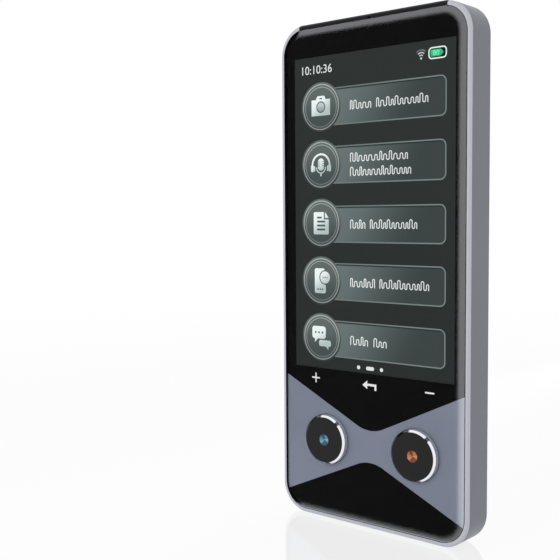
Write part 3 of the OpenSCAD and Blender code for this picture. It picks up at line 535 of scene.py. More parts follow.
@dataclass(frozen=True)
class SpunMetal(Finish):
    """A small dished disc, turned on a lathe, with fine rings, a painted sheen that changes with the angle
    round its middle, and a darker edge.
    """

    colour: Colour
    # The pale and deep colours are lit and shaded copies of the colour for the painted sheen.
    pale: Colour
    deep: Colour
    centre: Point
    radius: float = 1.6
    rings: float = 46.0

    def coat(self, paint: Paint) -> bpy.types.Material:
        """Builds the material."""
        radius, angle = paint.polar(self.centre)
        grooves = (radius * self.rings).sine() * 0.5 + 0.5
        # Painted reflection: a sheen that changes with the angle round the middle, mixed with stains.
        painted_rays = ((angle * 2 + 0.9).sine() * 0.6 + (angle * 5 + radius * 1.2).sine() * 0.25
                + (angle * 9 - 0.6).sine() * 0.15) * 0.5 + 0.5
        stain = paint.noise(1.6, 3.0)
        share = (painted_rays * 0.75 + stain * 0.35).rise(0.15, 0.95)
        stops = [(0.0, self.deep), (0.5, self.colour), (1.0, self.pale)]
        colour = paint.node("ShaderNodeValToRGB", {"stops": stops}, {0: share})
        colour = paint.blend(radius.rise(self.radius * 0.86, self.radius) * 0.55, colour, self.deep)
        return paint.cover({"Base Color": colour, "Metallic": 0.75, "Roughness": 0.3 + stain * 0.12},
                           grooves, 0.004, 0.6)


@dataclass(frozen=True)
class LensDisc(Finish):
    """The pale face of a small lens barrel, with painted shade towards its bottom, its dark pupil ring, a
    painted highlight in its middle and a darker rim.
    """

    centre: Point
    radius: float = 2.15
    pale: Colour = tone(158, 158, 161)
    shade: Colour = tone(128, 128, 131)
    pupil: Colour = tone(58, 58, 61)
    painted_glint: Colour = tone(116, 116, 119)

    def coat(self, paint: Paint) -> bpy.types.Material:
        """Builds the material."""
        radius = paint.polar(self.centre)[0] / self.radius
        height = paint.axes(paint.place(self.centre))[2] / self.radius
        turned = (radius * 80).sine() * 0.5 + 0.5
        stain = paint.noise(1.2, 3.0)
        # Painted shade: the face darkens towards its bottom, mixed with stains.
        colour = paint.blend(height.rise(-1.0, 0.9) * 0.8 + stain * 0.2, self.shade, self.pale)
        colour = paint.blend(radius.ridge((0.12, 0.2), (0.32, 0.42)), colour, self.pupil)
        # Painted highlight in the middle of the pupil ring.
        colour = paint.blend(1 - radius.rise(0.1, 0.18), colour, self.painted_glint)
        colour = paint.blend(radius.rise(0.9, 0.98) * 0.7, colour, self.pupil)
        return paint.cover({"Base Color": colour, "Metallic": 0.3, "Roughness": 0.32 + stain * 0.1},
                           turned, 0.003, 0.4)


@dataclass(frozen=True)
class MouldedPlastic(Finish):
    """Moulded plastic with a fine spark-eroded grain."""

    colour: Colour
    roughness: float = 0.45
    grain: float = 5.0
    relief: float = 0.008
    shine: float = 0.5
    shades: Span = (0.82, 1.15)

    def coat(self, paint: Paint) -> bpy.types.Material:
        """Builds the material."""
        grain = paint.noise(self.grain, 4.0, 0.6)
        cloud = paint.noise(0.08, 2.0)
        dark, light = (shaded(self.colour, share) for share in self.shades)
        colour = paint.blend(grain.rise(0.3, 0.7) * 0.6 + cloud * 0.4, dark, light)
        return paint.cover({"Base Color": colour, "Roughness": self.roughness - 0.04 + grain * 0.08,
                            "Specular IOR Level": self.shine}, grain, self.relief, 0.5)


@dataclass(frozen=True)
class CoverGlass(Finish):
    """Clear coated glass that mirrors round its curved edge.

    Its flat part leaves the sheen to what lies behind. The ground walls of its two holes are painted lighter
    than the print, painted light that fills their shade, and its outer wall is inked dark.
    """

    edge_index: float = 2.4
    tint: Colour = tone(246, 247, 250)
    # Painted light for the hole walls, lighter than the print.
    painted_light_hole_wall: Colour = tone(186, 193, 210)
    outer_wall: Colour = tone(26, 26, 28)
    holes_top: float = 33.0
    holes_side: float = 25.0
    curve_start: Span = (0.0015, 0.03)
    low_start: Span = (0.002, 0.07)
    dull_side: Span = (0.02, 0.09)

    def coat(self, paint: Paint) -> bpy.types.Material:
        """Builds the material."""
        right, back, up = paint.facing()
        front = -back
        low = (-up).rise(0.01, 0.04)
        lean = 1 - front
        slope = lean.rise(*self.curve_start) * (1 - low) + lean.rise(*self.low_start) * low
        curve = slope * (1 - (-right).rise(*self.dull_side))
        dust = paint.noise(0.25, 3.0)
        edge = paint.node("ShaderNodeFresnel", None, {"IOR": self.edge_index})
        mirror = edge * curve * front.rise(0.3, 0.6)
        wall = 1 - front.size().rise(0.08, 0.25)
        x, _, z = paint.axes()
        hole = (1 - z.rise(self.holes_top, self.holes_top + 1)) * (
            1 - x.size().rise(self.holes_side, self.holes_side + 1))
        # Painted light: the hole walls take a colour lighter than the print to fill their shade.
        colour = paint.blend(wall, self.tint, paint.blend(hole, self.outer_wall, self.painted_light_hole_wall))
        return paint.cover({"Base Color": colour, "Metallic": 1 - wall, "Alpha": mirror.greater(wall),
                            "Roughness": 0.02 + dust * 0.03 + wall * 0.4, "Specular IOR Level": 0.0})


@dataclass(frozen=True)
class Ink(Finish):
    """Ink screen-printed on the back of the glass, with a faint flake in it, and a painted highlight towards
    one side where it has an edge span.
    """

    colour: Colour
    flake: Colour
    amount: float = 0.25
    roughness: float = 0.4
    metal: float = 0.0
    # The span across which a painted highlight grows, and the highlight's colour.
    painted_highlight_edge: Span | None = None
    pale: Colour = tone(186, 192, 206)

    def coat(self, paint: Paint) -> bpy.types.Material:
        """Builds the material."""
        flake = paint.cells(9.0, "Color")
        amount = paint.axes(flake)[0].rise(0.2, 1.0) * self.amount
        screen = paint.noise(3.0, 2.0)
        cloud = paint.noise(0.04, 2.0)
        colour = paint.blend(amount, self.colour, self.flake)
        colour = paint.blend(cloud.rise(0.35, 0.65) * 0.5, colour, shaded(self.colour, 0.9))
        # Painted highlight: lighter across the edge span.
        if self.painted_highlight_edge is not None:
            colour = paint.blend(paint.axes()[0].rise(*self.painted_highlight_edge), colour, self.pale)
        return paint.cover({"Base Color": colour, "Roughness": self.roughness - 0.04 + screen * 0.08,
                            "Metallic": self.metal, "IOR": GLASS_SHEEN}, screen, 0.001, 0.15)


class LitFinish(Finish):
    """A lit part of the screen, whose light has the grid of its picture elements."""

    pitch: float = 0.108
    dim: float = 0.16
    unlit: Colour = tone(8, 8, 8)

    def light(self, paint: Paint, colour: Signal, roughness: Any = 0.3) -> bpy.types.Material:
        """Ends the material with light of a colour, a little darker between the picture elements.

        Args:
            paint: The material's nodes.
            colour: The colour of its light.
            roughness: How rough the screen is.

        Returns:
            The material.
        """
        x, _, z = paint.axes()
        lines = x.off_centre(self.pitch).rise(0.3, 0.5).greater(z.off_centre(self.pitch).rise(0.3, 0.5))
        return paint.cover({"Base Color": self.unlit, "Roughness": roughness, "IOR": GLASS_SHEEN,
                            "Emission Color": paint.blend(lines * self.dim, colour, BLACK),
                            "Emission Strength": 1.0})


@dataclass(frozen=True)
class LitPanel(LitFinish):
    """The lit face of the screen: a dark ground with a soft glow."""

    ground: Colour = tone(41, 46, 45)
    glow: Colour = tone(45, 50, 48)

    def coat(self, paint: Paint) -> bpy.types.Material:
        """Builds the material."""
        x, _, z = paint.axes()
        share = (z * 0.012 + x * 0.006 - 0.75).rise(-0.3, 0.9)
        roughness = 0.3 + paint.noise(0.4) * 0.05
        return self.light(paint, paint.blend(share, self.ground, self.glow), roughness)


@dataclass(frozen=True)
class LitMark(LitFinish):
    """A lit mark of the menu, which may fade to a second colour across itself."""

    start: Colour
    end: Colour | None = None
    along: Point = (1.0, 0.0)
    reach: Span = (-26.0, 26.0)

    def coat(self, paint: Paint) -> bpy.types.Material:
        """Builds the material."""
        x, _, z = paint.axes()
        share = (x * self.along[0] + z * self.along[1]).rise(*self.reach)
        share = (share + paint.noise(0.3, 2.0) * 0.08 - 0.04).rise(0.0, 1.0)
        return self.light(paint, paint.blend(share, self.start, self.end or self.start))


@dataclass(frozen=True)
class LitCard(LitFinish):
    """A card of the menu, smoky glass lit from its left end, with a dark gap under its upper edge."""

    centre: Point
    half: Point
    bright: Colour = tone(107, 120, 120)
    dark: Colour = tone(61, 69, 68)
    gap: Colour = tone(44, 50, 49)
    slant: float = 0.6

    def coat(self, paint: Paint) -> bpy.types.Material:
        """Builds the material."""
        x, _, z = paint.axes(paint.place(self.centre))
        glow = 1 - (x - z * self.slant).rise(-self.half[0] * 1.08, self.half[0] * 0.64)
        colour = paint.blend(glow, self.dark, self.bright)
        above = (self.half[1] - z).rise(0.5, 0.85)
        beside = (self.half[0] - x).rise(0.3, 0.75, 0.6, 1.0)
        return self.light(paint, paint.blend(above * beside, self.gap, colour))


@dataclass(frozen=True)
class CircuitBoard(Finish):
    """Solder mask over copper tracks, with a few bright pads."""

    mask: Colour
    track: Colour
    pad: Colour = tone(205, 178, 96)
    pitch: float = 0.6

    def coat(self, paint: Paint) -> bpy.types.Material:
        """Builds the material."""
        x, _, z = paint.axes()
        area = paint.axes(paint.cells(0.22, "Color"))[0]
        upright = area.rise(0.49, 0.51)
        lanes = x * upright + z * (1 - upright)
        tracks = lanes.off_centre(self.pitch).rise(0.2, 0.26) * area.rise(0.25, 0.3)
        spots = 1 - paint.cells(0.75).rise(0.2, 0.24)
        colour = paint.blend(tracks, self.mask, self.track)
        colour = paint.blend(spots, colour, self.pad)
        return paint.cover({"Base Color": colour, "Metallic": spots * 0.8, "Roughness": 0.42 - tracks * 0.08},
                           tracks * 0.6 + spots * 0.4, 0.02, 0.6)


@dataclass(frozen=True)
class FlexFilm(Finish):
    """Amber film with copper tracks that run along it."""

    film: Colour = tone(196, 138, 44)
    shade: Colour = tone(170, 112, 30)
    copper: Colour = tone(214, 150, 84)
    pitch: float = 0.5

    def coat(self, paint: Paint) -> bpy.types.Material:
        """Builds the material."""
        tracks = paint.axes()[0].off_centre(self.pitch).rise(0.18, 0.24)
        cloud = paint.noise(0.4, 3.0)
        colour = paint.blend(tracks * 0.7, paint.blend(cloud, self.film, self.shade), self.copper)
        return paint.cover({"Base Color": colour, "Roughness": 0.3 + cloud * 0.1}, tracks, 0.01, 0.5)


@dataclass(frozen=True)
class Foam(Finish):
    """Closed-cell foam."""

    colour: Colour = tone(30, 30, 32)

    def coat(self, paint: Paint) -> bpy.types.Material:
        """Builds the material."""
        pores = paint.cells(6.0)
        return paint.cover({"Base Color": paint.blend(pores, self.colour, shaded(self.colour, 2.0)),
                            "Roughness": 0.85 + pores * 0.1}, 1 - pores, 0.05, 0.8)


@dataclass(frozen=True)
class Foil(Finish):
    """Soft crinkled foil, as round a battery cell."""

    colour: Colour = tone(186, 188, 192)

    def coat(self, paint: Paint) -> bpy.types.Material:
        """Builds the material."""
        crinkle = paint.noise(0.35, 5.0, 0.6)
        weave = paint.noise(4.0, 2.0, length=0.15)
        colour = paint.blend(crinkle, shaded(self.colour, 0.8), self.colour)
        return paint.cover({"Base Color": colour, "Metallic": 0.85, "Roughness": 0.3 + weave * 0.15},
                           crinkle * 0.8 + weave * 0.2, 0.08, 0.6)


@dataclass(frozen=True)
class WireMesh(Finish):
    """Fine black woven dust mesh, with a painted highlight on the crests of its weave."""

    colour: Colour = tone(13, 13, 14)
    crest_highlight: Colour = tone(34, 34, 36)
    pitch: float = 0.16

    def coat(self, paint: Paint) -> bpy.types.Material:
        """Builds the material."""
        x, _, z = paint.axes()
        turns = math.tau / self.pitch
        height = (x * turns).sine() * (z * turns).sine() * 0.5 + 0.5
        # Painted highlight: the weave is lighter where it rises and darker in its hollows.
        return paint.cover({"Base Color": paint.blend(height, self.colour, self.crest_highlight), "Metallic": 0.4,
                            "Roughness": 0.6 - height * 0.12}, height, 0.04, 0.8)


@dataclass(frozen=True)
class Row:
    """A row of the menu: the height of its badge, its card, and the lines of its label.

    Each line has its height, the width of a letter, and how many letters each word has.
    """

    badge: float
    card: Span
    lines: tuple[tuple[float, float, tuple[int, ...]], ...]


class Layer(Enum):
    """Fronts and backs of thin layers, in millimetres behind the face that they lie on."""

    CARD = (-0.025, -0.004)
    LINE = (-0.04, -0.027)
    BADGE = (-0.06, -0.042)
    RING = (-0.075, -0.062)
    LOW_MARK = (-0.086, -0.077)
    MARK = (-0.1, -0.088)
    PRINT = (-0.016, -0.003)
    TICK = (0.004, 0.02)

    @property
    def half(self) -> float:
        """Gives half the layer's thickness in metres."""
        return (self.value[1] - self.value[0]) / 2 * MM


@dataclass(frozen=True)
class Bench:
    """Hand tools for flat pieces that lie on one face of the body, with all sizes in millimetres.

    The face is a Y in metres, and digit_share is a digit's height as a share of its type's size.
    """

    face: float
    digit_share: float = 0.69

    def _front(self, layer: Layer) -> float:
        """Gives the Y in metres of a layer's front."""
        return self.face + layer.value[0] * MM

    @staticmethod
    def clear() -> None:
        """Leaves nothing selected."""
        bpy.ops.object.select_all(action="DESELECT")

    @staticmethod
    def _named(name: str) -> bpy.types.Object:
        """Names the piece that was just added.

        Args:
            name: The name for it and its data.

        Returns:
            The piece.
        """
        piece = bpy.context.active_object
        piece.name = piece.data.name = name
        return piece

    @staticmethod
    def _pick(piece: bpy.types.Object) -> None:
        """Selects a piece alone and makes it the active one.

        Args:
            piece: The piece.
        """
        Bench.clear()
        piece.select_set(True)
        bpy.context.view_layer.objects.active = piece

    @staticmethod
    def settle(piece: bpy.types.Object) -> None:
        """Puts the piece's place, turn and stretch into its mesh."""
        Bench._pick(piece)
        bpy.ops.object.transform_apply(location=True, rotation=True, scale=True)

    @staticmethod
    def _edit(piece: bpy.types.Object, mode: str = "VERT") -> None:
        """Starts to edit a piece with all of it selected.

        Args:
            piece: The piece.
            mode: What is selected in it, VERT or FACE.
        """
        Bench._pick(piece)
        bpy.ops.object.mode_set(mode="EDIT")
        bpy.ops.mesh.select_mode(type=mode)
        bpy.ops.mesh.select_all(action="SELECT")

    @staticmethod
    def _hollow(line: float) -> None:
        """Leaves only a bar along the edge of the selected front.

        Args:
            line: How wide the bar is.
        """
        bpy.ops.mesh.inset(thickness=line * MM)
        bpy.ops.mesh.delete(type="FACE")
        bpy.ops.mesh.select_all(action="SELECT")

    @staticmethod
    def _close(layer: Layer) -> None:
        """Draws the selected front back to a closed piece and ends the edit.

        Args:
            layer: The layer that the piece fills.
        """
        bpy.ops.mesh.extrude_region_move(TRANSFORM_OT_translate={"value": (0, layer.half * 2, 0)})
        bpy.ops.mesh.select_all(action="SELECT")
        bpy.ops.mesh.normals_make_consistent(inside=False)
        bpy.ops.object.mode_set(mode="OBJECT")

    def plate(self, name: str, x: Span, z: Span, layer: Layer, corner: float,
              line: float = 0.0) -> bpy.types.Object:
        """Makes a flat plate with round corners, or only its outline as a thin frame.

        Args:
            name: The piece's name.
            x: Its left and right edge.
            z: Its lower and upper edge.
            layer: The layer that it fills.
            corner: The radius of its corners.
            line: How wide the frame's bar is, or zero for the whole plate.

        Returns:
            The closed piece.
        """
        self.clear()
        bpy.ops.mesh.primitive_plane_add(size=1, rotation=(math.pi / 2, 0, 0), location=(
            sum(x) / 2 * MM, self._front(layer), sum(z) / 2 * MM))
        piece = self._named(name)
        piece.scale = ((x[1] - x[0]) * MM, (z[1] - z[0]) * MM, 1)
        self.settle(piece)
        self._edit(piece)
        bpy.ops.mesh.bevel(offset=corner * MM, segments=8 if line else 6, affect="VERTICES")
        if line:
            bpy.ops.mesh.select_mode(type="FACE")
        bpy.ops.mesh.select_all(action="SELECT")
        if line:
            self._hollow(line)
        self._close(layer)
        return piece

    def disc(self, name: str, centre: Point, radius: float, layer: Layer, steps: int,
             bore: float = 0.0) -> bpy.types.Object:
        """Makes a flat disc, or a ring where it has a bore.

        Args:
            name: The piece's name.
            centre: Its middle.
            radius: Its outer radius.
            layer: The layer that it fills.
            steps: The edges round it.
            bore: The radius of its hole.

        Returns:
            The closed piece.
        """
        self.clear()
        bpy.ops.mesh.primitive_circle_add(
            vertices=steps, radius=radius * MM, fill_type="NGON",
            location=(centre[0] * MM, self._front(layer), centre[1] * MM), rotation=(math.pi / 2, 0, 0))
        piece = self._named(name)
        self.settle(piece)
        self._edit(piece, "FACE")
        if bore:
            self._hollow(radius - bore)
        self._close(layer)
        return piece

    def outline(self, name: str, loops: Sequence[Loop], layer: Layer,
                centre: Point = (0, 0)) -> bpy.types.Object:
        """Makes a flat piece from its outline and the loops inside it.

        Args:
            name: The piece's name.
            loops: The outline first, then each hole and island.
            layer: The layer that it fills.
            centre: Where the loops' own zero goes.

        Returns:
            The closed piece.
        """
        curve = bpy.data.curves.new(name, "CURVE")
        curve.dimensions = "2D"
        for loop in loops:
            spline = curve.splines.new("POLY")
            spline.points.add(len(loop) - 1)
            spline.use_cyclic_u = True
            for point, (x, z) in zip(spline.points, loop):
                point.co = ((x + centre[0]) * MM, (z + centre[1]) * MM, 0, 1)
        return self._flat_to_piece(curve, layer)

    def text(self, name: str, words: str, place: Point, height: float, layer: Layer,
             width: float = 1.0) -> bpy.types.Object:
        """Makes plain digits as a flat piece.

        Args:
            name: The piece's name.
            words: What to write.
            place: The lower left corner.
            height: The height of a digit.
            layer: The layer that they fill.
            width: How wide the digits are drawn, as a share of their own width.

        Returns:
            The closed piece.
        """
        curve = bpy.data.curves.new(name, "FONT")
        curve.body = words
        curve.size = height * MM / self.digit_share
        piece = self._flat_to_piece(curve, layer)
        low = min(v.co.x for v in piece.data.vertices), min(v.co.z for v in piece.data.vertices)
        piece.scale = (width, 1, 1)
        piece.location = (place[0] * MM - low[0] * width, 0, place[1] * MM - low[1])
        self.settle(piece)
        return piece

    def _flat_to_piece(self, curve: bpy.types.Curve, layer: Layer) -> bpy.types.Object:
        """Turns a flat curve into a closed mesh of the same name that faces the front.

        Args:
            curve: The flat curve.
            layer: The layer that the piece fills.

        Returns:
            The closed piece.
        """
        name = curve.name
        curve.fill_mode = "BOTH"
        curve.extrude = layer.half
        made = bpy.data.objects.new(name, curve)
        bpy.context.scene.collection.objects.link(made)
        self._pick(made)
        bpy.ops.object.convert(target="MESH")
        piece = self._named(name)
        piece.rotation_euler = (math.pi / 2, 0, 0)
        piece.location = (0, self._front(layer) + layer.half, 0)
        self.settle(piece)
        self._edit(piece)
        bpy.ops.mesh.remove_doubles(threshold=1e-7)
        bpy.ops.mesh.normals_make_consistent(inside=False)
        bpy.ops.object.mode_set(mode="OBJECT")
        return piece

    def copy(self, piece: bpy.types.Object, name: str, move: Point) -> bpy.types.Object:
        """Copies a piece with a mesh of its own.

        Args:
            piece: What is copied.
            name: The copy's name.
            move: How far right and up the copy goes.

        Returns:
            The copy.
        """
        self._pick(piece)
        bpy.ops.object.duplicate(linked=False)
        twin = self._named(name)
        twin.location = (move[0] * MM, 0, move[1] * MM)
        self.settle(twin)
        return twin

    def join(self, name: str, pieces: Sequence[bpy.types.Object]) -> bpy.types.Object:
        """Joins pieces into one.

        Args:
            name: The joined piece's name.
            pieces: What is joined.

        Returns:
            The joined piece.
        """
        self.clear()
        for piece in pieces:
            piece.select_set(True)
        bpy.context.view_layer.objects.active = pieces[0]
        if len(pieces) > 1:
            bpy.ops.object.join()
        return self._named(name)


def circle(x: float, z: float, radius: float, steps: int = 40) -> Loop:
    """Gives the points of a circle."""
    return arc(x, z, radius, 0, math.tau * (steps - 1) / steps, steps - 1)


def arc(x: float, z: float, radius: float, start: float, end: float, steps: int) -> Loop:
    """Gives the points of an arc round a middle, from one angle in radians to another in so many steps."""
    turns = [start + (end - start) * i / steps for i in range(steps + 1)]
    return [(x + radius * math.cos(t), z + radius * math.sin(t)) for t in turns]


def band(x: float, z: float, outer: float, inner: float, start: float, end: float) -> Loop:
    """Gives the outline of a bent bar with square ends."""
    return arc(x, z, outer, start, end, 24) + arc(x, z, inner, end, start, 24)


def box(x: Span, z: Span, corner: float) -> Loop:
    """Gives the outline of a box with round corners.

    Args:
        x: Its left and right edge.
        z: Its lower and upper edge.
        corner: The radius of its corners.

    Returns:
        The points in order.
    """
    left, right, low, high = x[0] + corner, x[1] - corner, z[0] + corner, z[1] - corner
    points: Loop = []
    for quarter, (middle_x, middle_z) in enumerate(((right, high), (left, high), (left, low), (right, low))):
        start = quarter * math.pi / 2
        points += arc(middle_x, middle_z, corner, start, start + math.pi / 2, 6)
    return points


def squiggle(letters: int, pitch: float, low: float, tall: float, stroke: float) -> Loop:
    """Gives the outline of a stroke that goes up and down once for each letter of a word.

    Args:
        letters: How many letters the word has.
        pitch: The width of a letter with its gap.
        low: The height of most letters.
        tall: The height of the first letter and of a few others.
        stroke: The width of the stroke.

    Returns:
        The points in order.
    """
    shares = [0.78 + 0.11 * ((letter * 3 + letters) % 5) for letter in range(letters)]
    scale = pitch * letters / sum(shares)
    sides: tuple[Loop, Loop] = ([], [])
    x = 0.0
    for letter, share in enumerate(shares):
        bend = share * scale / 4
        top = tall if letter == 0 or (letter * 5 + letters) % 7 in (0, 3) else low
        for side, half in zip(sides, (stroke / 2, -stroke / 2)):
            if letter == 0:
                side.append((x - half, 0))
            side.extend(arc(x + bend, top - bend - stroke / 2, bend + half, math.pi, 0, 8))
            if letter < letters - 1:
                side.extend(arc(x + 3 * bend, bend + stroke / 2, bend - half, math.pi, math.tau, 8))
            else:
                side.append((x + 2 * bend + half, 0))
        x += 4 * bend
    return sides[0] + sides[1][::-1]


@dataclass
class Menu:
    """The lit menu on the screen: status line, five cards with badges and labels, and the page marks."""

    bench: Bench
    badge_x: float = -16.6
    badge_radius: float = 6.8
    card_x: Span = (-14.0, 23.25)
    card_corner: float = 1.7
    card_line: float = 0.33
    badge_lines: tuple[Span, ...] = ((6.29, 5.99), (5.55, 5.3))
    label_x: float = -6.45
    letter_height: float = 1.75
    tall_height: float = 2.5
    stroke: float = 0.27
    word_gap: float = 0.75
    icon_lean: Point = (-0.5, 0.85)
    icon_reach: float = 3.4
    lens_radius: float = 1.25
    clock_at: Point = (-23.15, 124.07)
    clock_height: float = 2.25
    fan_at: Point = (15.8, 124.42)
    fan_radii: tuple[float, ...] = (0.95, 1.6, 2.25)
    fan_bar: float = 0.3
    fan_spread: Span = (50.0, 130.0)
    battery: tuple[Span, Span] = ((17.95, 23.3), (123.85, 126.85))
    battery_level: tuple[Span, Span] = ((18.55, 21.7), (124.5, 126.2))
    battery_line: float = 0.34
    page_z: float = 43.72
    page_dots: Span = (-3.8, 3.73)
    page_dot: float = 0.52
    page_pill: float = 1.3
    rows: tuple[Row, ...] = (
        Row(114.85, (109.57, 119.79), ((113.37, 1.49, (5, 11)),)),
        Row(99.05, (93.67, 103.97), ((99.37, 1.57, (12,)), (95.57, 1.43, (14,)))),
        Row(82.87, (77.52, 87.67), ((81.37, 1.38, (4, 11)),)),
        Row(66.85, (61.67, 71.92), ((65.52, 1.43, (6, 11)),)),
        Row(50.95, (45.82, 56.02), ((49.67, 1.63, (4, 3)),)),
    )
    made: list[bpy.types.Object] = field(default_factory=list)

    def build(self) -> None:
        """Builds the whole menu."""
        self._cards()
        self._badges()
        self._labels()
        self._icons()
        self._status()
        self._page_marks()
        for piece in self.made:
            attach(piece, "housing")
            LOG.info("menu piece %s", piece.name)

    def _keep(self, finish: Finish, *pieces: bpy.types.Object) -> None:
        """Coats pieces and lists them."""
        finish.on(*pieces)
        self.made.extend(pieces)

    def _cards(self) -> None:
        """Builds the cards and their outlines."""
        lines = []
        for number, row in enumerate(self.rows, 1):
            card = self.bench.plate(f"card_{number}", self.card_x, row.card, Layer.CARD, self.card_corner)
            middle = (sum(self.card_x) / 2, sum(row.card) / 2)
            half = ((self.card_x[1] - self.card_x[0]) / 2, (row.card[1] - row.card[0]) / 2)
            self._keep(LitCard(f"card_{number}_glow", middle, half), card)
            lines.append(self.bench.plate(f"card_{number}_line", self.card_x, row.card, Layer.LINE,
                                          self.card_corner, self.card_line))
        self._keep(LitMark("card_line", tone(112, 126, 122), tone(122, 137, 133), reach=(-14, 23)), *lines)

    def _badges(self) -> None:
        """Builds a badge of a rim, a glass and two lines, and a copy of it for each row."""
        first = (self.badge_x, self.rows[0].badge)
        (outer, middle), (inner, least) = self.badge_lines
        parts = {
            "rim": (self.badge_radius, Layer.BADGE, 0.0, tone(54, 61, 59), tone(100, 111, 108)),
            "glass": (outer, Layer.RING, 0.0, tone(70, 80, 78), tone(98, 109, 106)),
            "line": (outer, Layer.LOW_MARK, middle, tone(146, 154, 151), tone(176, 184, 181)),
            "hairline": (inner, Layer.LOW_MARK, least, tone(112, 122, 119), tone(158, 167, 164)),
        }
        for kind, (radius, layer, bore, low, high) in parts.items():
            piece = self.bench.disc(f"badge_{kind}", first, radius, layer, 96, bore)
            for number, row in enumerate(self.rows, 1):
                twin = self.bench.copy(piece, f"badge_{number}_{kind}", (0.0, row.badge - first[1]))
                reach = (row.badge - self.badge_radius, row.badge + self.badge_radius)
                self._keep(LitMark(f"badge_{number}_{kind}_light", low, high, (0.0, 1.0), reach), twin)
            bpy.data.objects.remove(piece)

    def _labels(self) -> None:
        """Builds each label as squiggles, one stroke up and down for each letter that a real label has."""
        labels = []
        for number, row in enumerate(self.rows, 1):
            marks = []
            for base, pitch, words in row.lines:
                at = self.label_x
                for word in words:
                    loop = squiggle(word, pitch, self.letter_height, self.tall_height, self.stroke)
                    marks.append(self.bench.outline("squiggle", [loop], Layer.MARK, (at, base)))
                    at += (word + self.word_gap) * pitch
            labels.append(self.bench.join(f"label_{number}", marks))
        self._keep(LitMark("label_light", tone(238, 243, 242), tone(226, 232, 231), reach=(-7, 20)), *labels)

    def _icons(self) -> None:
        """Builds the icon on each badge, and the darker lens of the camera's."""
        shapes = (self._camera(), self._headset(), self._page(), self._phone(), self._chat())
        height = self.rows[0].badge
        lens = self.bench.disc("icon_1_lens", (self.badge_x, height), self.lens_radius, Layer.MARK, 32)
        self._keep(LitMark("icon_1_lens_light", tone(150, 168, 167), tone(200, 212, 212), (0, 1),
                           (height - self.lens_radius - 0.15, height + self.lens_radius + 0.15)), lens)
        for number, (loops, row) in enumerate(zip(shapes, self.rows), 1):
            centre = (self.badge_x, row.badge)
            parts = [self.bench.outline("icon_part", group, Layer.MARK, centre) for group in loops]
            icon = self.bench.join(f"icon_{number}", parts)
            middle = centre[0] * self.icon_lean[0] + centre[1] * self.icon_lean[1]
            reach = (middle - self.icon_reach, middle + self.icon_reach)
            self._keep(LitMark(f"icon_{number}_light", tone(182, 200, 196), tone(244, 252, 250),
                               self.icon_lean, reach), icon)

    @staticmethod
    def _camera() -> list[list[Loop]]:
        """Draws a camera.

        Returns:
            The loops of each part.
        """
        body = [(-3.25, -2.35), (3.25, -2.35), (3.25, 2.05), (1.7, 2.05), (1.4, 2.75), (1.05, 3.05),
                (-1.05, 3.05), (-1.4, 2.75), (-1.7, 2.05), (-3.25, 2.05)]
        return [[body, circle(0, 0.0, 1.58), box((-0.5, 0.5), (2.15, 2.5), 0.17)]]

    @staticmethod
    def _headset() -> list[list[Loop]]:
        """Draws a headset with a microphone in it.

        Returns:
            The loops of each part.
        """
        hoop = band(0, -0.15, 3.3, 2.75, 0, math.pi)
        cups = [[box((x - 0.48, x + 0.48), (-1.95, 0.0), 0.42)] for x in (-3.05, 3.05)]
        pads = [[box((x - 0.19, x + 0.19), (-1.85, -0.3), 0.16)] for x in (-2.28, 2.28)]
        notches = [box((x - 0.2, x + 0.2), (z, z + 0.26), 0.1)
                   for x in (-0.72, 0.72) for z in (-0.45, 0.1, 0.65)]
        capsule = [box((-1.05, 1.05), (-1.6, 1.75), 1.0), *notches]
        cradle = band(0, -0.7, 1.75, 1.42, math.pi, math.tau)
        stem = box((-0.27, 0.27), (-3.2, -2.35), 0.1)
        return [[hoop], *cups, *pads, capsule, [cradle], [stem]]

    @staticmethod
    def _page() -> list[list[Loop]]:
        """Draws a written page with a folded corner.

        Returns:
            The loops of each part.
        """
        sheet = [*arc(-2.25, -2.7, 0.4, math.pi, math.pi * 1.5, 6),
                 *arc(2.25, -2.7, 0.4, math.pi * 1.5, math.tau, 6), (2.65, 1.05), (0.95, 1.05), (0.95, 3.1),
                 *arc(-2.25, 2.7, 0.4, math.pi / 2, math.pi, 6)]
        fold = [(1.35, 3.1), (1.35, 1.45), (2.65, 1.45)]
        slots = [box((-1.5, 0.25), (1.3, 1.82), 0.24)]
        slots += [box((-1.5, 1.45), (z, z + 0.52), 0.24) for z in (0.2, -0.9, -2.0)]
        return [[sheet, *slots], [fold]]

    @staticmethod
    def _phone() -> list[list[Loop]]:
        """Draws a telephone with a speech bubble.

        Returns:
            The loops of each part.
        """
        gap = arc(1.3, 0.95, 2.02, math.radians(97), math.radians(263), 20)
        case = [(0.8, 3.45), *arc(-1.8, 2.9, 0.55, math.pi / 2, math.pi, 6),
                *arc(-1.8, -2.95, 0.55, math.pi, math.pi * 1.5, 6),
                *arc(1.0, -2.95, 0.55, math.pi * 1.5, math.tau, 6), (1.55, -1.15), *reversed(gap),
                (1.1, 3.25)]
        dots = [circle(x, -2.4, 0.27, 12) for x in (-1.2, -0.4, 0.4)]
        talk = [circle(x, 0.95, 0.21, 10) for x in (0.6, 1.3, 2.0)]
        return [[case, *dots], [circle(1.3, 0.95, 1.7), *talk]]

    @staticmethod
    def _chat() -> list[list[Loop]]:
        """Draws two speech bubbles.

        Returns:
            The loops of each part.
        """
        front = box((-3.3, 1.5), (-0.4, 3.1), 0.8)
        tail = [(-2.4, 0.0), (-2.4, -1.5), (-0.9, 0.0)]
        back = box((-0.9, 3.3), (-2.5, -0.75), 0.6)
        rear_tail = [(2.4, -2.2), (2.4, -3.4), (1.2, -2.2)]
        dots = [circle(x, 1.35, 0.32, 14) for x in (-2.1, -0.9, 0.3)]
        return [[front, *dots], [tail], [back], [rear_tail]]

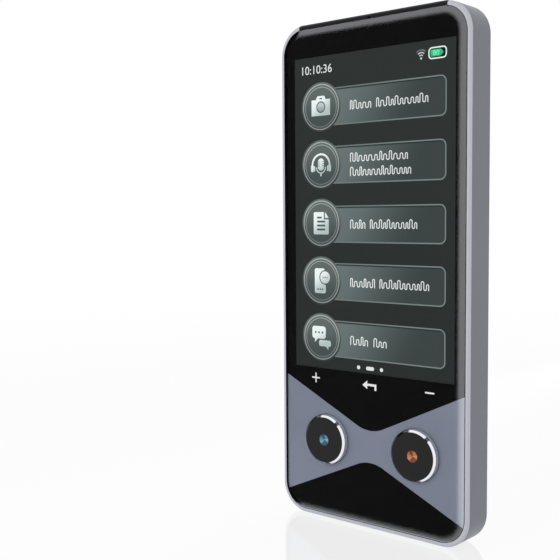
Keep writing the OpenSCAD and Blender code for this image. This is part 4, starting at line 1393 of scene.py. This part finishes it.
    def _status(self) -> None:
        """Builds the clock, the radio fan and the battery."""
        clock = self.bench.text("clock", "10:10:36", self.clock_at, self.clock_height, Layer.MARK)
        start, end = (math.radians(turn) for turn in self.fan_spread)
        fan = [self.bench.outline("fan", [band(*self.fan_at, radius, radius - self.fan_bar, start, end)],
                                  Layer.MARK) for radius in self.fan_radii]
        spot = self.bench.outline("fan", [circle(*self.fan_at, self.fan_bar, 16)], Layer.MARK)
        outer = self.bench.join("radio_outer", fan[2:])
        inner = self.bench.join("radio_fan", [*fan[:2], spot])
        self._keep(LitMark("status_light", tone(232, 238, 237), tone(196, 202, 201)), clock, inner)
        self._keep(LitMark("radio_dim", tone(116, 122, 120)), outer)
        self._battery()

    def _battery(self) -> None:
        """Builds the battery's case, its dark inside, its level with a tip, and its share in digits."""
        case = self.bench.plate("battery_case", *self.battery, Layer.MARK, 1.05, self.battery_line)
        self._keep(LitMark("battery_case_light", tone(234, 246, 237)), case)
        well_x, well_z = ((low + 0.25, high - 0.25) for low, high in self.battery)
        well = self.bench.plate("battery_well", well_x, well_z, Layer.LINE, 0.7)
        self._keep(LitMark("battery_dark", tone(12, 20, 16)), well)
        (_, end), (low, high) = self.battery_level
        level = self.bench.plate("battery_level", *self.battery_level, Layer.BADGE, 0.35)
        point = [(end - 0.05, low + 0.1), (end + 0.65, (low + high) / 2), (end - 0.05, high - 0.1)]
        charge = self.bench.join("battery_level", [level, self.bench.outline("tip", [point], Layer.BADGE)])
        reach = (low - 0.2, high + 0.2)
        self._keep(LitMark("battery_green", tone(22, 186, 118), tone(60, 206, 146), (0, 1), reach), charge)
        share = self.bench.text("battery_share", "80", (19.3, 124.75), 1.2, Layer.MARK, width=1.1)
        self._keep(LitMark("battery_digits", tone(150, 246, 208)), share)

    def _page_marks(self) -> None:
        """Builds the marks that show the page."""
        start, end = self.page_dots
        left = self.bench.disc("page_mark_left", (start, self.page_z), self.page_dot, Layer.MARK, 24)
        right = self.bench.copy(left, "page_mark_right", (end - start, 0))
        pill = self.bench.plate("page_mark_middle", (-self.page_pill, self.page_pill),
                                (self.page_z - 0.5, self.page_z + 0.5), Layer.MARK, 0.48)
        self._keep(LitMark("page_light", tone(236, 238, 238), tone(228, 232, 232)), left, pill, right)


@dataclass
class TouchMarks:
    """The plus, the back arrow and the minus printed behind the glass below the screen."""

    bench: Bench
    plus: Point = (-18.63, 39.39)
    minus: Point = (18.72, 39.3)
    arrow: Point = (0.1, 39.1)
    reach: float = 1.38
    stroke: float = 0.42
    minus_stroke: float = 0.44

    def build(self) -> None:
        """Builds the three marks."""
        half, line, thin = self.reach, self.stroke / 2, self.minus_stroke / 2
        plus = [(-half, -line), (-line, -line), (-line, -half), (line, -half), (line, -line), (half, -line),
                (half, line), (line, line), (line, half), (-line, half), (-line, line), (-half, line)]
        arrow = [(-2.6, 0), (-1.0, 1.35), (-1.0, 0.5), (2.0, 0.5), (2.0, -1.2), (1.35, -1.2), (1.35, -0.12),
                 (-1.0, -0.12), (-1.0, -1.0)]
        pieces = [
            self.bench.outline("plus_mark", [plus], Layer.PRINT, self.plus),
            self.bench.outline("back_mark", [arrow], Layer.PRINT, self.arrow),
            self.bench.plate("minus_mark", (self.minus[0] - half, self.minus[0] + half),
                             (self.minus[1] - thin, self.minus[1] + thin), Layer.PRINT, 0.1),
        ]
        Ink("mark_ink", tone(244, 244, 244), tone(252, 252, 252), amount=0.2, roughness=0.5).on(*pieces)
        for piece in pieces:
            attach(piece, "housing")
            LOG.info("printed mark %s", piece.name)


@dataclass
class Casework:
    """The metal body, antenna cap, glass, prints and camera, as dressed nodes."""

    nodes: dict[str, bpy.types.Object]
    metal: Colour = tone(127, 127, 137)
    rim: float = 0.5
    seat_corner: float = 6.9

    @staticmethod
    def _recess(node: str, first: int, second: int, corner: float, edge: float) -> Recess:
        """Gives the outline of a node, seen along one axis.

        Args:
            node: The node's name.
            first: The axis across, 0 for X, 1 for Y and 2 for Z.
            second: The axis up.
            corner: The radius of its corners in millimetres.
            edge: How far its painted shade reaches.

        Returns:
            The outline in millimetres.
        """
        low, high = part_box(node)
        centre = tuple((low[a] + high[a]) / 2 / MM for a in (first, second))
        half = tuple((high[a] - low[a]) / 2 / MM for a in (first, second))
        return Recess(centre, half, corner, edge)

    def dress(self) -> None:
        """Coats the outside of the body."""
        low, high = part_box("rear_shell")
        # The glass seat, the grille and the tray face get painted shade along these outlines.
        seat = self._recess("cover_lens", 0, 2, corner=self.seat_corner, edge=0.14)
        grille = self._recess("speaker_mesh", 0, 2, corner=1.0, edge=0.0)
        tray = self._recess("sim_tray", 1, 2, corner=1.49, edge=0.2)
        finishes: dict[str, Finish] = {
            "rear_shell": ShellMetal("satin_shell", self.metal, cut_end=low[1] / MM + self.rim, seat=seat,
                                     grille=grille, skin=high[1] / MM - 0.05),
            "sim_tray": TrayMetal("tray_metal_finish", tone(146, 147, 156), roughness=0.34, face=tray),
            "antenna_cap": MouldedPlastic("antenna_cap_plastic", tone(25, 25, 26), roughness=0.42, grain=6.0,
                                          shine=0.12),
            "cover_lens": CoverGlass("curved_glass"),
            "black_print": Ink("black_border", tone(9, 9, 9), tone(15, 15, 16), amount=0.3, roughness=0.35),
            # The lavender panel has a painted highlight towards its right edge.
            "bow_tie_print": Ink("lavender_panel", tone(132, 138, 154), tone(158, 165, 180), amount=0.14,
                                 roughness=0.38, metal=0.25, painted_highlight_edge=(26.6, 29.4)),
            "display_panel": LitPanel("screen_face"),
            "camera_bezel": LacqueredRim("camera_surround"),
            "camera_window": MouldedPlastic("camera_black_glass", tone(1, 1, 2), roughness=0.08, grain=2.0,
                                            relief=0.0005, shine=0.01),
            "camera_disc": LensDisc("camera_lens_ring", CAMERA_CENTRE),
            "power_key": SatinKey("key_metal_finish"),
        }
        for node, finish in finishes.items():
            finish.on(self.nodes[node])
            LOG.info("dressed %s", node)


@dataclass
class CameraTicks:
    """A ring of plain ticks printed on the camera's black glass, open at the bottom."""

    bench: Bench
    centre: Point = CAMERA_CENTRE
    radius: float = 6.0
    spread: float = 125.0
    count: int = 31
    every: int = 5
    length: Span = (0.62, 1.05)
    width: float = 0.2

    def build(self) -> None:
        """Builds the ticks as one piece."""
        loops = []
        for number in range(self.count):
            turn = math.radians(self.spread * (2 * number / (self.count - 1) - 1))
            rise = self.length[1] if number % self.every == 0 else self.length[0]
            corners = ((-self.width / 2, self.radius), (self.width / 2, self.radius),
                       (self.width / 2, self.radius + rise), (-self.width / 2, self.radius + rise))
            loops.append([(x * math.cos(turn) + z * math.sin(turn), z * math.cos(turn) - x * math.sin(turn))
                          for x, z in corners])
        ticks = self.bench.outline("camera_ticks", loops, Layer.TICK, self.centre)
        Ink("tick_ink", tone(138, 138, 140), tone(160, 160, 162), amount=0.3, roughness=0.5).on(ticks)
        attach(ticks, "housing")
        LOG.info("printed ring %s", ticks.name)


@dataclass
class TalkButtons:
    """The two ringed talk buttons."""

    nodes: dict[str, bpy.types.Object]
    offset: float = 14.55
    height: float = 22.4

    def dress(self) -> None:
        """Coats both buttons."""
        for side, sign in (("left", -1), ("right", 1)):
            centre = (sign * self.offset, self.height)
            ChromeRing(f"{side}_ring_chrome", centre).on(self.nodes[f"{side}_ring"])
            cap = MouldedPlastic(f"{side}_cap_plastic", tone(35, 35, 36), roughness=0.42, grain=8.0,
                                 relief=0.004, shine=0.12)
            cap.on(self.nodes[f"{side}_cap"])
            carrier = MouldedPlastic(f"{side}_carrier_plastic", tone(34, 34, 36))
            carrier.on(self.nodes[f"{side}_carrier"], self.nodes[f"{side}_switch_body"])
            stem = PolishedMetal(f"{side}_stem_metal", tone(170, 170, 174), roughness=0.25)
            stem.on(self.nodes[f"{side}_switch_stem"])
            self._dot(side, centre).on(self.nodes[f"{side}_dot"])
            LOG.info("dressed the %s talk button", side)

    @staticmethod
    def _dot(side: str, centre: Point) -> SpunMetal:
        """Gives the finish of a button's coloured dot.

        Args:
            side: The button's side.
            centre: The middle of the dot.

        Returns:
            The finish.
        """
        if side == "left":
            return SpunMetal("blue_dot", tone(74, 118, 140), tone(134, 172, 190), tone(38, 72, 98), centre)
        return SpunMetal("copper_dot", tone(158, 96, 62), tone(206, 146, 104), tone(98, 50, 26), centre)


@dataclass
class InnerParts:
    """Everything behind the glass and under the shell."""

    nodes: dict[str, bpy.types.Object]

    def dress(self) -> None:
        """Coats each inner node by what it is made of."""
        dark = MouldedPlastic("inner_black_plastic", tone(36, 36, 40))
        steel = PolishedMetal("spring_steel", tone(168, 169, 173), roughness=0.24, smear=0.1)
        board = CircuitBoard("board_mask", tone(22, 92, 60), tone(30, 116, 76))
        finishes: dict[Finish, tuple[str, ...]] = {
            Foam("tape_foam"): ("lens_gasket", "speaker_gasket"),
            MouldedPlastic("light_guide_film", tone(226, 226, 222), roughness=0.3, grain=3.0): (
                "backlight_unit",),
            FlexFilm("flex_film_tracks"): ("display_flex", "link_ribbon", "battery_lead", "antenna_flex"),
            BlastedAluminium("cast_magnesium", tone(104, 108, 114), roughness=0.5, grain=4.0): ("mid_frame",),
            steel: ("frame_screws", "board_screws", "eject_rod", "eject_lever", "power_bracket", "usb_port",
                    "processor_shield", "radio_shield", "front_shield", "power_switch_stem"),
            board: ("main_board", "button_board"),
            dark: ("main_chips", "camera_module", "usb_tongue", "power_switch_body", "speaker_frame"),
            BlastedAluminium("reader_steel", tone(166, 168, 172), roughness=0.32, grain=5.0): ("sim_reader",),
            MouldedPlastic("card_plastic_finish", tone(110, 111, 114), roughness=0.4): ("sim_card",),
            Foil("cell_foil"): ("battery_cell",),
            MouldedPlastic("tape_film", tone(214, 212, 196), roughness=0.5, grain=2.0): ("battery_tape",),
            MouldedPlastic("socket_nylon", tone(230, 224, 210), roughness=0.5, grain=4.0): (
                "battery_socket",),
            MouldedPlastic("cone_paper", tone(72, 72, 76), roughness=0.75, grain=2.5, relief=0.02): (
                "speaker_cone",),
            WireMesh("dust_mesh"): ("speaker_mesh",),
            PolishedMetal("microphone_cap", tone(202, 198, 168), roughness=0.2): (
                "top_microphone", "bottom_microphone"),
        }
        for finish, names in finishes.items():
            finish.on(*(self.nodes[name] for name in names))
            LOG.info("dressed %s", ", ".join(names))


@dataclass
class Studio:
    """A pale floor, soft lamps, a white surround and the camera.

    The camera's place is in millimetres, its yaw, pitch and roll in degrees, and its focal length in shares
    of the picture's side. The floor's radius and gap are in metres, and its fade is in shares of the radius.
    """

    place: Place = (146.64, -210.03, 84.56)
    turn: Place = (-40.954, -3.803, -0.383)
    focal: float = 941.5 / 560.0
    sensor: float = 36.0
    fill: float = 0.5
    floor_radius: float = 0.9
    floor_gap: float = 0.00003
    floor_fade: Span = (0.12, 0.8)
    floor_light: float = 0.93
    floor_mirror: float = 0.13

    def build(self) -> None:
        """Sets up floor, light, surround and camera."""
        self._floor()
        self._surround()
        self._lamp("key_lamp", at=(-0.12, -0.9, 0.48), size=(0.9, 0.7), power=3.9)
        self._lamp("back_lamp", at=(-0.075, 0.34, 0.05), size=(0.03, 0.22), power=0.25,
                   aim=(-0.052, 0.0, 0.05), spread=34.0)
        self._camera()

    def _camera(self) -> None:
        """Makes the camera and makes it the scene's own."""
        yaw, pitch, roll = (math.radians(v) for v in self.turn)
        ahead = Vector((math.sin(yaw) * math.cos(pitch), math.cos(yaw) * math.cos(pitch), math.sin(pitch)))
        level = Vector((math.cos(yaw), -math.sin(yaw), 0))
        rise = level.cross(ahead)
        right = level * math.cos(roll) + rise * math.sin(roll)
        up = rise * math.cos(roll) - level * math.sin(roll)
        data = bpy.data.cameras.new("view")
        data.sensor_width = self.sensor
        data.lens = self.focal * self.sensor
        data.clip_start, data.clip_end = 0.01, 20
        camera = bpy.data.objects.new("view", data)
        bpy.context.scene.collection.objects.link(camera)
        turned = Matrix((right, up, -ahead)).transposed().to_4x4()
        camera.matrix_world = Matrix.Translation(Vector(self.place) * MM) @ turned
        bpy.context.scene.camera = camera

    @staticmethod
    def _lamp(name: str, at: Place, size: Point, power: float, aim: Place = (0, 0, 0.07),
              spread: float = 180.0) -> None:
        """Makes a soft lamp that isn't seen itself.

        Args:
            name: The lamp's name.
            at: Its place in metres.
            size: Its width and height in metres.
            power: Its power in watts.
            aim: The place that it looks at.
            spread: How wide its beam opens, in degrees.
        """
        data = bpy.data.lights.new(name, "AREA")
        data.shape, data.size, data.size_y, data.energy = "RECTANGLE", size[0], size[1], power
        data.spread = math.radians(spread)
        lamp = bpy.data.objects.new(name, data)
        bpy.context.scene.collection.objects.link(lamp)
        lamp.visible_glossy = lamp.visible_camera = False
        lamp.location = at
        lamp.rotation_euler = (Vector(aim) - Vector(at)).to_track_quat("-Z", "Y").to_euler()

    def _surround(self) -> None:
        """Makes the surround white to look at and in reflections, and a soft grey light elsewhere."""
        paint = Paint("surround", bpy.data.worlds)
        level = paint.seen() * (1 - self.fill) + self.fill
        back = paint.node("ShaderNodeBackground", None, {"Color": level})
        bpy.context.scene.world = paint.end(back, "ShaderNodeOutputWorld")

    def _floor(self) -> None:
        """Makes the pale floor that the body stands on."""
        Bench.clear()
        bpy.ops.mesh.primitive_circle_add(vertices=96, radius=self.floor_radius, fill_type="NGON",
                                          location=(0, 0, -self.floor_gap))
        floor = bpy.context.active_object
        floor.name = "floor"
        Bench.settle(floor)
        paint = Paint("pale_floor")
        x, y, _ = paint.axes()
        away = ((x * x + y * y).root() * (MM / self.floor_radius)).rise(*self.floor_fade)
        matt = paint.node("ShaderNodeBsdfDiffuse", None, {"Color": (0.9, 0.9, 0.905, 1)})
        lit = paint.node("ShaderNodeEmission", None, {"Color": WHITE})
        share = paint.seen() * self.floor_light
        shader = paint.node("ShaderNodeMixShader", None, {0: share, 1: matt, 2: lit})
        gloss = paint.node("ShaderNodeBsdfGlossy", None, {
            "Roughness": 0.03 + paint.noise(0.02) * 0.02, "Color": WHITE})
        shader = paint.node("ShaderNodeMixShader", None, {0: self.floor_mirror, 1: shader, 2: gloss})
        clear = paint.node("ShaderNodeBsdfTransparent")
        floor.data.materials.append(paint.end(
            paint.node("ShaderNodeMixShader", None, {0: away, 1: shader, 2: clear})))


def main() -> None:
    """Builds and dresses the translator."""
    logging.basicConfig(level=logging.INFO, format="%(name)s: %(message)s")
    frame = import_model()
    scene = bpy.context.scene
    scene.view_settings.view_transform = "Standard"
    nodes = frame["nodes"]
    screen = Bench(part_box("display_panel")[0][1])
    ink = Bench(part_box("black_print")[0][1])
    Casework(nodes).dress()
    TalkButtons(nodes).dress()
    InnerParts(nodes).dress()
    Menu(screen).build()
    TouchMarks(ink).build()
    CameraTicks(Bench(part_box("camera_window")[1][1])).build()
    Studio().build()
    LOG.info("%d nodes dressed", len(nodes))


if __name__ == "__main__":
    main()
